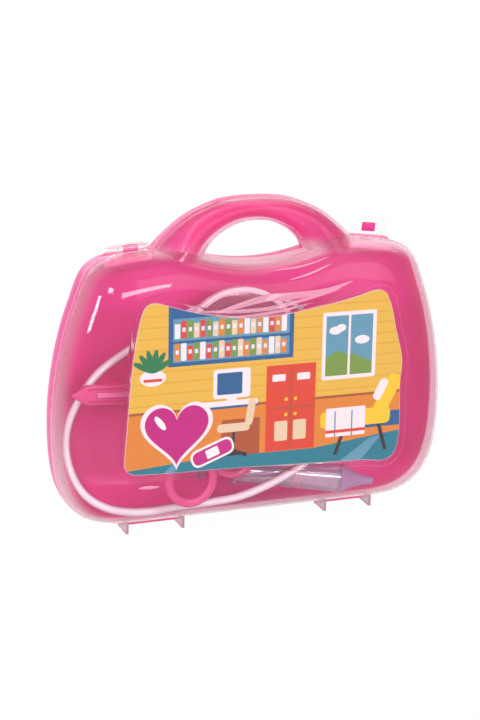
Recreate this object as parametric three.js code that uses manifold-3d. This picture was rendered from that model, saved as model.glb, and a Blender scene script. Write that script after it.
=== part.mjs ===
// Toy doctor case: a clear front shell hinged to a pink back shell, with a carrying handle shared by
// both halves, two flip latches on the shoulders, a picture card behind the front panel and a set of
// play instruments inside. Millimetres, Z up, the front towards -Y. The origin is on the ground under
// the middle of the parting plane, which is the plane Y = 0.
import * as THREE from "three";
import { mergeVertices } from "three/addons/utils/BufferGeometryUtils.js";
import Module from "manifold-3d";

const wasm = await Module();
wasm.setup();

// Driving dimensions of the case.
const caseWidth = 266.4;
const caseHeight = 174.8;
const rimFloor = 6.7;
const frontDepth = 26.5;
const backDepth = 28.5;
const frontBand = 5.3;
const backBand = 3;
const wall = 2;
const gap = 0.3;
const overcut = 3;

// The panel outlines are the rim outline drawn in towards a height on the case.
const frontPanelShares = { width: 0.786, height: 0.712, centre: 0.509 };
const backPanelShares = { width: 0.85, height: 0.777, centre: 0.503 };
const innerPanelShare = 0.6;
const cornerSteps = 6;

// Right half of the rim outline: cubic rows from the middle of the bottom to the middle of the top,
// in shares of half the width and of the height above the rim's floor.
const outlineStartShare = [0.633, 0];
const outlineRowShares = [
  [[0.966, 0], [1, 0.163], [1, 0.378]],
  [[1, 0.525], [0.957, 0.692], [0.897, 0.811]],
  [[0.853, 0.898], [0.85, 0.956], [0.71, 0.98]],
  [[0.632, 0.994], [0.55, 1], [0.473, 1]],
  [[0.366, 1], [0.23, 0.94], [0, 0.94]],
];
const outlineRowSteps = [9, 5, 7, 3, 6];
const outlineFloorSteps = 2;

// The carrying handle: outer and inner points of each section from the top to a leg,
// in shares of half the width and of the height above the rim's floor.
const handleOuterShares = [
  [0, 1.1687], [0.0983, 1.1657], [0.18, 1.1568], [0.2754, 1.1309], [0.3413, 1.107],
  [0.3983, 1.0771], [0.4504, 1.0433], [0.4996, 1.0065], [0.5409, 0.9517],
];
const handleInnerShares = [
  [0, 1.0771], [0.0561, 1.0742], [0.1092, 1.0632], [0.1613, 1.0443], [0.2026, 1.0224],
  [0.2331, 0.9995], [0.2518, 0.9766], [0.2705, 0.9428], [0.2891, 0.9049],
];
const handleDepth = 14;
const handleLegDepth = 20;
const handleSectionSteps = 8;

// The raised window of the front panel and the card behind it, both with this outline.
const cardShares = [
  [-0.7051, 0.2768], [-0.699, 0.237], [-0.6724, 0.2181], [-0.6203, 0.2131], [-0.4632, 0.2081],
  [-0.2705, 0.2051], [-0.0787, 0.2002], [0.1829, 0.1922], [0.3934, 0.1852], [0.5409, 0.1803],
  [0.6314, 0.1723], [0.6786, 0.1872], [0.7052, 0.2251], [0.715, 0.3057], [0.7101, 0.4679],
  [0.716, 0.5555], [0.6796, 0.664], [0.6432, 0.7705], [0.6107, 0.8134], [0.5685, 0.8223],
  [0.474, 0.8054], [0.3786, 0.7895], [0.2646, 0.7755], [0.0974, 0.7566], [-0.0679, 0.7516],
  [-0.2321, 0.7646], [-0.3934, 0.7915], [-0.4917, 0.8143], [-0.5576, 0.8283], [-0.5919, 0.8243],
  [-0.6165, 0.8034], [-0.6564, 0.673], [-0.6862, 0.45],
];
const cardThickness = 0.5;
const cardMargin = 0.6;
const windowMargin = 4;
const windowRise = 1.8;
const windowBevel = 1.2;
const windowSteps = 66;

// Hinge along the bottom: clear ears on the front shell around pink barrels on the back shell.
const hingeY = 5;
const hingePinRadius = 1.1;
const hingeBoreRadius = 1.4;
const hingeBarrelRadius = 2.4;
const hingeEyeRadius = 2.65;
const earThickness = 1.8;
const earShares = [-0.6441, -0.3611, 0.3889, 0.6351];
const earFront = 9;
const earHeel = 0.9;
const pinReach = 0.6;
const footWidth = 18;
const footFront = 13;
const footBack = 17;
const footShare = 0.4955;

// Latches on the shoulders.
const latchShare = 0.6269;
const latchWidth = 25;
const latchLength = 17.5;
const latchThickness = 2;
const latchBarrelRadius = 2.6;
const latchPinRadius = 1.3;
const latchPinBore = 1.6;
const latchPinReach = 1.8;
const latchAxisDepth = 2.2;
const latchAxisBack = 3;
const latchSeat = 3;
const latchDomeShare = 0.55;
const hookWidth = 9;
const hookHeight = 5.5;
const hookStart = 4.8;
const hookBase = 1.8;
const hookProud = 0.4;
const recessMargin = 0.4;
const recessBack = 9;
const recessDepth = 6.4;
const recessWall = 2.4;
const slotMargin = 0.4;
const leftLatchTurn = (82 * Math.PI) / 180;

// Scissors.
const ringRadius = 18;
const ringHole = 12.2;
const ringOffset = 17.2;
const ringThickness = 3.8;
const bladeThickness = 1.9;
const pivotHeight = 50;
const scissorsLength = 94;
const scissorsShares = [-0.2125, -0.3094];
const scissorsRise = 7.3;
const scissorsTurn = (-25.5 * Math.PI) / 180;
const rivetRadius = 2;
const rivetHeadRadius = 4;
const rivetHead = 1;
// One half of the scissors from the ring to the blade, in shares of the ring offset across and of the
// length from the rings to the tips.
const scissorHalfShares = [
  [1.25, 0.14], [0.42, 0.47], [0.3, 0.56], [0.16, 0.97], [0.06, 1], [-0.1, 0.97],
  [-0.42, 0.62], [-0.32, 0.5], [0.55, 0.16],
];

// Syringe, with its axis from the nose to the grip.
const syringeNoseShares = [0.458, -0.2642, 0.0852];
const syringeGripShares = [-0.0601, 0.1356];
const syringeBehind = 1.05;
const barrelRadius = 9.6;
const barrelWall = 1.4;
const flangeRadius = 12;
const flangeThickness = 2;
const noseHole = 2;
const nozzleLength = 24;
const nozzleTip = 2.3;
const nozzleLip = 1.5;
const plungerRod = 3;
const plungerLength = 62;
const thumbRadius = 9;
const thumbThickness = 2.4;
const sealThickness = 5;
const plungerOut = 22;

// Stethoscope.
const tubeRadius = 2.7;
const tubeShares = [
  [-0.473, 0.3965, 0.6568], [-0.6006, 0.3333, 0.6138], [-0.7357, 0.2807, 0.5509], [-0.8221, 0.2807, 0.4737],
  [-0.8859, 0.3158, 0.3736], [-0.9047, 0.2807, 0.282], [-0.8896, 0.0702, 0.1905], [-0.8446, -0.2642, 0.1219],
  [-0.7545, -0.434, 0.0772], [-0.6456, -0.4453, 0.0532], [-0.5255, -0.4226, 0.0452], [-0.4129, -0.2415, 0.0395],
  [-0.3153, -0.1736, 0.0383], [-0.2027, -0.2264, 0.0441], [-0.0826, -0.3962, 0.0612], [0.0601, -0.4755, 0.0967],
  [0.2177, -0.4906, 0.1516], [0.3453, -0.4151, 0.2191], [0.4354, -0.2453, 0.2763],
];
const tubeSteps = 72;
const tubeSides = 10;
const chestShares = [0.4655, -0.1509, 0.4537];
const chestRadius = 18;
const chestDepth = 9;
const stemRadius = 3.4;
const stemLength = 8;
const tubeClearance = 1.8;
const diaphragmRadius = 15.5;
const diaphragmThickness = 1.2;
const yokeShares = [-0.4129, 0.4281, 0.6733];
const yokeRadius = 4.2;
const yokeLength = 12;
const headsetRadius = 2.1;
const upperHeadsetShares = [
  [-0.3453, 0.4702, 0.6997], [-0.2703, 0.4982, 0.7368], [-0.1201, 0.5088, 0.7712], [0.0601, 0.5088, 0.7769],
  [0.2402, 0.5088, 0.7483], [0.3453, 0.5088, 0.6882],
];
const lowerHeadsetShares = [
  [-0.3453, 0.4702, 0.6482], [-0.2703, 0.4982, 0.5995], [-0.1351, 0.5088, 0.528], [0.03, 0.5088, 0.4851],
  [0.2102, 0.5088, 0.4908], [0.3378, 0.5088, 0.5395],
];
const headsetSteps = 22;
const earTipRadius = 4.4;
const earTipLength = 9;

// Thermometer.
const thermoShares = [-0.6306, -0.0377, 0.4737];
const thermoLength = 72;
const thermoHeight = 12.5;
const thermoThickness = 4;
const thermoPoint = 10;
const thermoTurn = (3 * Math.PI) / 180;
const grooveWidth = 1.6;
const grooveDepth = 1;
const scaleWidth = 3.4;
const scaleDepth = 1.4;
const scaleStart = 16;

// Head mirror.
const mirrorShares = [-0.0435, 0.1754, 0.591];
const mirrorRadius = 41.5;
const mirrorRim = 3.6;
const mirrorThickness = 5;
const mirrorBase = 1.8;
const glassThickness = 1.2;
const studRadius = 6;
const studLength = 5;

// Posts that carry the instruments stand on the back wall.
const postRadius = 3.4;
const postSides = 12;
const bladeHoldShare = 0.74;
const ringHoldTurn = Math.PI / 6;
const gripHoldShare = 0.85;
const noseHoldShare = 0.2;
const roundSides = 36;

const clear = { color: 0xf8e4e6, roughness: 0.12, metalness: 0 };
const materials = {
  pink: new THREE.MeshStandardMaterial({ color: 0xe8438a, roughness: 0.35, metalness: 0 }),
  clear: new THREE.MeshStandardMaterial({ ...clear, transparent: true, opacity: 0.35 }),
  card: new THREE.MeshStandardMaterial({ color: 0xe3a63a, roughness: 0.6, metalness: 0 }),
  tool: new THREE.MeshStandardMaterial({ color: 0xe0407f, roughness: 0.4, metalness: 0 }),
  lavender: new THREE.MeshStandardMaterial({ color: 0xa5789a, roughness: 0.4, metalness: 0 }),
  white: new THREE.MeshStandardMaterial({ color: 0xf0e1e6, roughness: 0.4, metalness: 0 }),
  silver: new THREE.MeshStandardMaterial({ color: 0xc9ccd2, roughness: 0.15, metalness: 0.9 }),
};

// Turns a closed three.js geometry into a solid for cutting and joining.
function solidOf(geometry) {
  const plain = geometry.clone();
  plain.deleteAttribute("normal");
  plain.deleteAttribute("uv");
  const merged = mergeVertices(plain, 1e-4);
  return new wasm.Manifold(
    new wasm.Mesh({
      numProp: 3,
      vertProperties: new Float32Array(merged.attributes.position.array),
      triVerts: new Uint32Array(merged.index.array),
    }),
  );
}

// Turns a solid back into a geometry with flat shading.
function geometryOf(solid) {
  const mesh = solid.getMesh();
  const geometry = new THREE.BufferGeometry();
  geometry.setAttribute("position", new THREE.BufferAttribute(new Float32Array(mesh.vertProperties), mesh.numProp));
  geometry.setIndex(new THREE.BufferAttribute(new Uint32Array(mesh.triVerts), 1));
  const flat = geometry.toNonIndexed();
  flat.computeVertexNormals();
  return flat;
}

// A solid through rings of matching points, closed by a fan at each end.
function loft(rings) {
  const count = rings[0].length;
  const points = rings.flat();
  const middle = (ring) => ring.reduce((sum, p) => sum.add(p), new THREE.Vector3()).divideScalar(count);
  const start = points.length;
  const end = start + 1;
  points.push(middle(rings[0]), middle(rings[rings.length - 1]));
  const triangles = [];
  for (let k = 0; k + 1 < rings.length; k++) {
    for (let i = 0; i < count; i++) {
      const next = (i + 1) % count;
      const low = k * count;
      const high = low + count;
      triangles.push(low + i, low + next, high + next, low + i, high + next, high + i);
    }
  }
  const last = (rings.length - 1) * count;
  for (let i = 0; i < count; i++) {
    const next = (i + 1) % count;
    triangles.push(start, next, i, end, last + i, last + next);
  }
  let volume = 0;
  for (let t = 0; t < triangles.length; t += 3) {
    const [a, b, c] = [points[triangles[t]], points[triangles[t + 1]], points[triangles[t + 2]]];
    volume += a.dot(new THREE.Vector3().crossVectors(b, c));
  }
  if (volume < 0) triangles.reverse();
  const geometry = new THREE.BufferGeometry().setFromPoints(points);
  geometry.setIndex(triangles);
  return geometry;
}

// A box between two corners.
function box(low, high) {
  const size = new THREE.Vector3().subVectors(high, low);
  const centre = new THREE.Vector3().addVectors(low, high).multiplyScalar(0.5);
  return new THREE.BoxGeometry(size.x, size.y, size.z).translate(centre.x, centre.y, centre.z);
}

// A cylinder between two points.
function rod(from, to, radius, sides = postSides) {
  const along = new THREE.Vector3().subVectors(to, from);
  const geometry = new THREE.CylinderGeometry(radius, radius, along.length(), sides);
  const turn = new THREE.Quaternion().setFromUnitVectors(new THREE.Vector3(0, 1, 0), along.clone().normalize());
  const centre = new THREE.Vector3().addVectors(from, to).multiplyScalar(0.5);
  return geometry.applyQuaternion(turn).translate(centre.x, centre.y, centre.z);
}

// Points of one closed outline moved outwards, or inwards for a negative distance.
function offset(outline, distance) {
  const count = outline.length;
  return outline.map((point, i) => {
    const along = new THREE.Vector2().subVectors(outline[(i + 1) % count], outline[(i + count - 1) % count]);
    const outward = new THREE.Vector2(along.y, -along.x).normalize();
    return point.clone().addScaledVector(outward, distance);
  });
}

// An outline of width and height set up at a depth.
function ringAt(outline, y) {
  return outline.map((point) => new THREE.Vector3(point.x, y, point.y));
}

// Joins and cuts a list of geometries to and from a first solid.
function join(solid, geometries) {
  return geometries.reduce((sum, geometry) => sum.add(solidOf(geometry)), solid);
}
function cut(solid, geometries) {
  return geometries.reduce((sum, geometry) => sum.subtract(solidOf(geometry)), solid);
}

const half = caseWidth / 2;
const parting = gap / 2;
const onCase = ([across, up]) => new THREE.Vector2(across * half, rimFloor + up * caseHeight);
// A place inside the case, in shares of half the width, of the depth of its own shell and of the height.
const inCase = ([across, deep, up]) =>
  new THREE.Vector3(across * half, deep * (deep < 0 ? frontDepth : backDepth), rimFloor + up * caseHeight);
const hingeZ = rimFloor - hingeEyeRadius - gap;
const earPlaces = earShares.map((share) => share * half);
const footInset = footShare * half;
const latchPlace = latchShare * half;
// The lower finger ring of the scissors stays a clearance above the rim's floor.
const ringDrop = ringOffset * Math.sin(Math.abs(scissorsTurn)) + ringRadius;
const scissorsPlace = inCase([...scissorsShares, (scissorsRise + ringDrop) / caseHeight]);
const syringeNose = inCase(syringeNoseShares);
const [gripAcross, gripUp] = syringeGripShares;
const syringeGrip = inCase([gripAcross, 0, gripUp]);
// The syringe's flange stays a clearance behind the scissors' back ring.
syringeGrip.y = scissorsPlace.y + parting + ringThickness + syringeBehind + flangeRadius;
const chestPlace = inCase(chestShares);
const stemEnd = chestRadius + stemLength / 2;
const tubeEnd = chestPlace.clone().sub(new THREE.Vector3(0, 0, stemEnd + tubeClearance));
const tubePlaces = [...tubeShares.map(inCase), tubeEnd];
const yokePlace = inCase(yokeShares);
const upperHeadsetPlaces = upperHeadsetShares.map(inCase);
const lowerHeadsetPlaces = lowerHeadsetShares.map(inCase);
const thermoPlace = inCase(thermoShares);
const mirrorPlace = inCase(mirrorShares);

// The rim outline, anticlockwise seen from the front, from the middle of the bottom.
function rimOutline() {
  const right = [];
  for (let i = 0; i < outlineFloorSteps; i++) {
    const share = i / outlineFloorSteps;
    right.push(onCase([outlineStartShare[0] * share, outlineStartShare[1]]));
  }
  let start = onCase(outlineStartShare);
  outlineRowShares.forEach((row, r) => {
    const [first, second, end] = row.map(onCase);
    const curve = new THREE.CubicBezierCurve(start, first, second, end);
    for (let i = 0; i < outlineRowSteps[r]; i++) right.push(curve.getPoint(i / outlineRowSteps[r]));
    start = end;
  });
  right.push(start);
  const left = right.slice(1, -1).reverse();
  return right.concat(left.map((point) => new THREE.Vector2(-point.x, point.y)));
}

// The outline of a shell's flat panel, with a point for each point of the rim.
function panelOutline(rim, shares) {
  const centre = rimFloor + shares.centre * caseHeight;
  return rim.map(
    (point) => new THREE.Vector2(point.x * shares.width, centre + (point.y - centre) * shares.height),
  );
}

// One side of a shell, from a start depth over a straight band and a round corner to the flat panel.
function bowl(rim, panel, side, start, band, depth) {
  const rings = [ringAt(rim, side * start)];
  for (let k = 0; k <= cornerSteps; k++) {
    const angle = ((k / cornerSteps) * Math.PI) / 2;
    const inward = 1 - Math.cos(angle);
    const y = side * (band + (depth - band) * Math.sin(angle));
    rings.push(ringAt(rim.map((point, i) => point.clone().lerp(panel[i], inward)), y));
  }
  return loft(rings);
}

// Half of the handle: half-round sections from one leg over the top to the other leg.
function handleHalf(side, start, inset) {
  const legs = handleOuterShares.length;
  const places = [];
  for (let i = legs - 1; i > -legs; i--) {
    const k = Math.abs(i);
    const mirror = Math.sign(i) || 1;
    const outer = onCase(handleOuterShares[k]);
    const inner = onCase(handleInnerShares[k]);
    const depth = handleDepth + (handleLegDepth - handleDepth) * (k / (legs - 1)) ** 2;
    places.push({ outer, inner, depth, mirror });
  }
  return loft(
    places.map(({ outer, inner, depth, mirror }) => {
      const centre = outer.clone().add(inner).multiplyScalar(0.5);
      const across = outer.clone().sub(inner).multiplyScalar(0.5);
      across.setLength(across.length() - inset);
      const ring = [];
      for (let j = 0; j <= handleSectionSteps; j++) {
        const angle = (j / handleSectionSteps) * Math.PI;
        const point = centre.clone().addScaledVector(across, Math.cos(angle));
        const y = side * (Math.abs(start) + (depth - inset - Math.abs(start)) * Math.sin(angle));
        ring.push(new THREE.Vector3(point.x * mirror, start < 0 && y === 0 ? 0 : y, point.y));
      }
      const open = side * start;
      ring[0].y = open;
      ring[handleSectionSteps].y = open;
      return ring;
    }),
  );
}

const rim = rimOutline();
const frontPanel = panelOutline(rim, frontPanelShares);
const backPanel = panelOutline(rim, backPanelShares);

// A whole shell half without its fittings: outside and inside solids of the bowl and its handle half.
function shellHalf(panel, side, band, depth) {
  const outside = solidOf(bowl(rim, panel, side, parting, band, depth)).add(
    solidOf(handleHalf(side, parting, 0)),
  );
  const inside = solidOf(
    bowl(offset(rim, -wall), offset(panel, -wall * innerPanelShare), side, -overcut, band, depth - wall),
  ).add(solidOf(handleHalf(side, -overcut, wall)));
  return { outside, shell: outside.subtract(inside) };
}

// The height and the slope of the rim's top at a distance from the middle.
function shoulderAt(across) {
  const top = rim.filter((point) => point.x > 0 && point.y > rimFloor + caseHeight / 2);
  for (let i = 0; i + 1 < top.length; i++) {
    const [outer, inner] = [top[i], top[i + 1]];
    if (outer.x >= across && inner.x <= across) {
      const share = (outer.x - across) / (outer.x - inner.x);
      const slope = Math.atan2(inner.y - outer.y, outer.x - inner.x);
      return { height: outer.y + (inner.y - outer.y) * share, slope };
    }
  }
  return { height: rimFloor + caseHeight, slope: 0 };
}

// The frame of a latch: its origin on the shoulder and its x along the slope.
const shoulder = shoulderAt(latchPlace);
function latchFrame(side) {
  return new THREE.Matrix4()
    .makeTranslation(side * latchPlace, 0, shoulder.height)
    .multiply(new THREE.Matrix4().makeRotationY(side * shoulder.slope));
}

const front = shellHalf(frontPanel, -1, frontBand, frontDepth);
const back = shellHalf(backPanel, 1, backBand, backDepth);
const cardOutline = new THREE.CatmullRomCurve3(
  cardShares.map((place) => new THREE.Vector3(onCase(place).x, 0, onCase(place).y)),
  true,
)
  .getSpacedPoints(windowSteps)
  .slice(0, -1)
  .map((point) => new THREE.Vector2(point.x, point.z));

// The clear front shell with its window, hinge ears and latch slots.
function frontShell() {
  const windowFace = frontDepth + windowRise;
  const raised = loft([
    ringAt(offset(cardOutline, windowMargin), -(frontDepth - wall / 2)),
    ringAt(offset(cardOutline, windowMargin), -(windowFace - windowBevel)),
    ringAt(offset(cardOutline, windowMargin - windowBevel), -windowFace),
  ]);
  const pocket = loft([
    ringAt(offset(cardOutline, cardMargin), -(frontDepth - wall - overcut)),
    ringAt(offset(cardOutline, cardMargin), -(windowFace - wall)),
  ]);
  const earTop = rimFloor + wall / 2;
  const eyeTop = hingeZ + hingeEyeRadius;
  const ears = earPlaces.map((place) => {
    const outline = new THREE.Shape();
    outline.moveTo(-earFront, 0);
    outline.lineTo(hingeY - hingeBarrelRadius * 2, earHeel);
    outline.lineTo(hingeY, hingeZ - hingeEyeRadius);
    outline.absarc(hingeY, hingeZ, hingeEyeRadius, -Math.PI / 2, Math.PI / 2, false);
    outline.lineTo(-parting, eyeTop);
    outline.lineTo(-parting, earTop);
    outline.lineTo(-earFront, earTop);
    const eye = new THREE.Path();
    eye.absarc(hingeY, hingeZ, hingeBoreRadius, 0, Math.PI * 2, true);
    outline.holes.push(eye);
    const plate = new THREE.ExtrudeGeometry(outline, {
      depth: earThickness,
      bevelEnabled: false,
      curveSegments: postSides / 2,
    });
    // The outline's axes are the depth and the height, and it is extruded along the width.
    const turn = new THREE.Matrix4().makeBasis(
      new THREE.Vector3(0, 1, 0),
      new THREE.Vector3(0, 0, 1),
      new THREE.Vector3(1, 0, 0),
    );
    return plate.applyMatrix4(turn).translate(place - earThickness / 2, 0, 0);
  });
  const slots = [-1, 1].map((side) => {
    const low = new THREE.Vector3(
      -(hookWidth / 2 + slotMargin),
      latchAxisBack - hookStart - hookHeight - slotMargin,
      hookBase - latchAxisDepth - slotMargin,
    );
    const high = new THREE.Vector3(hookWidth / 2 + slotMargin, latchAxisBack - hookStart + slotMargin, overcut);
    return box(low, high).applyMatrix4(latchFrame(side));
  });
  return cut(join(cut(join(front.shell, [raised]), [pocket]), ears), slots);
}

// The pink back shell with its hinge barrels, feet, latch recesses and instrument posts.
function backShell(posts) {
  const barrels = [];
  for (let i = 0; i < earPlaces.length; i += 2) {
    const low = earPlaces[i] + earThickness / 2 + gap;
    const high = earPlaces[i + 1] - earThickness / 2 - gap;
    const reach = earThickness + gap + pinReach;
    barrels.push(
      rod(
        new THREE.Vector3(low, hingeY, hingeZ),
        new THREE.Vector3(high, hingeY, hingeZ),
        hingeBarrelRadius,
        postSides,
      ),
      rod(
        new THREE.Vector3(low - reach, hingeY, hingeZ),
        new THREE.Vector3(high + reach, hingeY, hingeZ),
        hingePinRadius,
        postSides,
      ),
      box(
        new THREE.Vector3(low, hingeY - hingeBarrelRadius, hingeZ),
        new THREE.Vector3(high, hingeY + hingeBarrelRadius, rimFloor + wall / 2),
      ),
    );
  }
  const feet = [-footInset, footInset].map((place) =>
    box(
      new THREE.Vector3(place - footWidth / 2, footFront, 0),
      new THREE.Vector3(place + footWidth / 2, footBack, rimFloor + wall * 2),
    ),
  );
  const recessHalf = latchWidth / 2 + recessMargin;
  const standing = posts.reduce((sum, geometry) => sum.add(solidOf(geometry)), solidOf(posts[0]));
  let solid = join(back.shell, barrels.concat(feet)).add(standing.intersect(back.outside));
  for (const side of [-1, 1]) {
    const frame = latchFrame(side);
    const pocket = box(
      new THREE.Vector3(-(recessHalf + recessWall), parting, -(recessDepth + wall)),
      new THREE.Vector3(recessHalf + recessWall, recessBack + wall, overcut),
    ).applyMatrix4(frame);
    const recess = box(
      new THREE.Vector3(-recessHalf, -overcut, -recessDepth),
      new THREE.Vector3(recessHalf, recessBack, overcut * 2),
    ).applyMatrix4(frame);
    const bore = rod(
      new THREE.Vector3(-(latchWidth / 2 + latchPinReach + gap), latchAxisBack, -latchAxisDepth),
      new THREE.Vector3(latchWidth / 2 + latchPinReach + gap, latchAxisBack, -latchAxisDepth),
      latchPinBore,
    ).applyMatrix4(frame);
    solid = cut(solid.add(solidOf(pocket).intersect(back.outside)), [recess, bore]);
  }
  return solid;
}

// A latch tab about its pivot, standing up.
function latchTab() {
  const base = -latchBarrelRadius;
  const dome = latchLength * latchDomeShare;
  const outline = new THREE.Shape();
  outline.moveTo(-latchWidth / 2, base);
  outline.lineTo(latchWidth / 2, base);
  outline.lineTo(latchWidth / 2, latchLength - dome);
  outline.absellipse(0, latchLength - dome, latchWidth / 2, dome, 0, Math.PI, false);
  const plate = new THREE.ExtrudeGeometry(outline, {
    depth: latchThickness,
    bevelEnabled: false,
    curveSegments: postSides,
  })
    .rotateX(Math.PI / 2)
    .translate(0, latchSeat + latchThickness, 0);
  const barrel = rod(
    new THREE.Vector3(-latchWidth / 2, 0, 0),
    new THREE.Vector3(latchWidth / 2, 0, 0),
    latchBarrelRadius,
    postSides,
  );
  const pins = rod(
    new THREE.Vector3(-(latchWidth / 2 + latchPinReach), 0, 0),
    new THREE.Vector3(latchWidth / 2 + latchPinReach, 0, 0),
    latchPinRadius,
    postSides,
  );
  const web = box(
    new THREE.Vector3(-latchWidth / 2, 0, base),
    new THREE.Vector3(latchWidth / 2, latchSeat + latchThickness / 2, latchBarrelRadius),
  );
  const window = box(
    new THREE.Vector3(-(hookWidth / 2 + gap), latchSeat - overcut / 2, hookStart - gap),
    new THREE.Vector3(hookWidth / 2 + gap, latchSeat + latchThickness + overcut, hookStart + hookHeight + gap),
  );
  return cut(join(solidOf(plate), [barrel, pins, web]), [window]);
}

// The hook block that fills the tab's window.
function latchHook() {
  return box(
    new THREE.Vector3(-hookWidth / 2, hookBase, hookStart),
    new THREE.Vector3(hookWidth / 2, latchSeat + latchThickness + hookProud, hookStart + hookHeight),
  );
}

// One half of the scissors, lying flat: the layer goes from y = 0 to the given side.
function scissorHalf(hand, layer) {
  const blade = new THREE.Shape(
    scissorHalfShares.map(([across, along]) => new THREE.Vector2(hand * across * ringOffset, along * scissorsLength)),
  );
  const ring = new THREE.Shape();
  ring.absarc(hand * ringOffset, 0, ringRadius, 0, Math.PI * 2, false);
  const hole = new THREE.Path();
  hole.absarc(hand * ringOffset, 0, ringHole, 0, Math.PI * 2, true);
  ring.holes.push(hole);
  const flat = (shape, depth) =>
    new THREE.ExtrudeGeometry(shape, { depth, bevelEnabled: false, curveSegments: roundSides / 2 })
      .rotateX(Math.PI / 2)
      .translate(0, layer > 0 ? depth : 0, 0);
  const far = bladeThickness * 2 + overcut;
  const disc = rod(
    new THREE.Vector3(0, 0, pivotHeight),
    new THREE.Vector3(0, layer * bladeThickness, pivotHeight),
    rivetHeadRadius + rivetRadius,
    roundSides / 2,
  );
  const bore = rod(
    new THREE.Vector3(0, -far, pivotHeight),
    new THREE.Vector3(0, far, pivotHeight),
    rivetRadius + gap,
    postSides,
  );
  const keepOut = rod(
    new THREE.Vector3(hand * ringOffset, -far, 0),
    new THREE.Vector3(hand * ringOffset, far, 0),
    ringHole,
    roundSides,
  );
  const shank = cut(join(solidOf(flat(blade, bladeThickness)), [disc]), [bore, keepOut]);
  return join(shank, [flat(ring, ringThickness)]);
}

// The rivet through both halves of the scissors, whose layers meet at y = 0.
function scissorRivet() {
  const seat = bladeThickness + gap + parting;
  const profile = [
    [0, -(seat + rivetHead)],
    [rivetHeadRadius, -(seat + rivetHead)],
    [rivetHeadRadius, -seat],
    [rivetRadius, -seat],
    [rivetRadius, seat],
    [rivetHeadRadius, seat],
    [rivetHeadRadius, seat + rivetHead],
    [0, seat + rivetHead],
  ];
  return turned(profile, postSides);
}

// A body of revolution from pairs of radius and height along y, listed either way round.
function turned(profile, sides = roundSides) {
  const points = profile.map(([r, y]) => new THREE.Vector2(r, y));
  if (THREE.ShapeUtils.area(points) < 0) points.reverse();
  return new THREE.LatheGeometry(points, sides);
}

// A round cord through a list of places.
function cord(places, radius, steps) {
  const curve = new THREE.CatmullRomCurve3(places);
  const section = new THREE.Shape();
  for (let i = 0; i < tubeSides; i++) {
    const angle = (i / tubeSides) * Math.PI * 2;
    const x = radius * Math.cos(angle);
    const y = radius * Math.sin(angle);
    if (i === 0) section.moveTo(x, y);
    else section.lineTo(x, y);
  }
  return new THREE.ExtrudeGeometry(section, { steps, extrudePath: curve, bevelEnabled: false });
}

// Syringe pieces along y: the nose end of the barrel at 0 and the grip towards +y.
const syringeAxis = new THREE.Vector3().subVectors(syringeGrip, syringeNose);
const barrelLength = syringeAxis.length();
const boreRadius = barrelRadius - barrelWall;
const syringeBarrel = turned([
  [noseHole, 0],
  [barrelRadius, 0],
  [barrelRadius, barrelLength - flangeThickness],
  [flangeRadius, barrelLength - flangeThickness],
  [flangeRadius, barrelLength],
  [boreRadius, barrelLength],
  [boreRadius, barrelWall],
  [noseHole, barrelWall],
  [noseHole, 0],
]);
const syringeNozzle = turned([
  [0, -gap],
  [barrelRadius, -gap],
  [barrelRadius, -(gap + nozzleLip)],
  [nozzleTip, -nozzleLength],
  [0, -nozzleLength],
]);
const plungerFront = barrelLength + plungerOut - plungerLength;
const syringePlunger = turned([
  [0, plungerFront],
  [plungerRod, plungerFront],
  [plungerRod, barrelLength + plungerOut - thumbThickness],
  [thumbRadius, barrelLength + plungerOut - thumbThickness],
  [thumbRadius, barrelLength + plungerOut],
  [0, barrelLength + plungerOut],
]);
const plungerSeal = turned([
  [0, plungerFront - gap - sealThickness],
  [boreRadius - gap, plungerFront - gap - sealThickness],
  [boreRadius - gap, plungerFront - gap],
  [0, plungerFront - gap],
]);

// Stethoscope pieces about y.
const chestBack = chestDepth / 2;
const chestPiece = cut(
  join(
    solidOf(
      turned([
        [0, -chestBack],
        [chestRadius, -chestBack],
        [chestRadius, 0],
        [chestRadius * 0.62, chestBack],
        [0, chestBack],
      ]),
    ),
    [
      rod(
        new THREE.Vector3(0, 0, -(chestRadius - stemRadius)),
        new THREE.Vector3(0, 0, -stemEnd),
        stemRadius,
      ),
    ],
  ),
  [
    turned([
      [0, -(chestBack + overcut)],
      [diaphragmRadius + gap, -(chestBack + overcut)],
      [diaphragmRadius + gap, -(chestBack - diaphragmThickness - gap)],
      [0, -(chestBack - diaphragmThickness - gap)],
    ]),
  ],
);
const diaphragm = turned([
  [0, -chestBack],
  [diaphragmRadius, -chestBack],
  [diaphragmRadius, -(chestBack - diaphragmThickness)],
  [0, -(chestBack - diaphragmThickness)],
]);
const yoke = turned(
  [
    [0, -yokeLength / 2],
    [yokeRadius * 0.8, -yokeLength / 2],
    [yokeRadius, 0],
    [yokeRadius * 0.8, yokeLength / 2],
    [0, yokeLength / 2],
  ],
  postSides * 2,
);
const earTip = turned(
  [
    [0, 0],
    [earTipRadius * 0.6, 0],
    [earTipRadius, earTipLength * 0.4],
    [earTipRadius * 0.8, earTipLength * 0.8],
    [0, earTipLength],
  ],
  postSides * 2,
);

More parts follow.
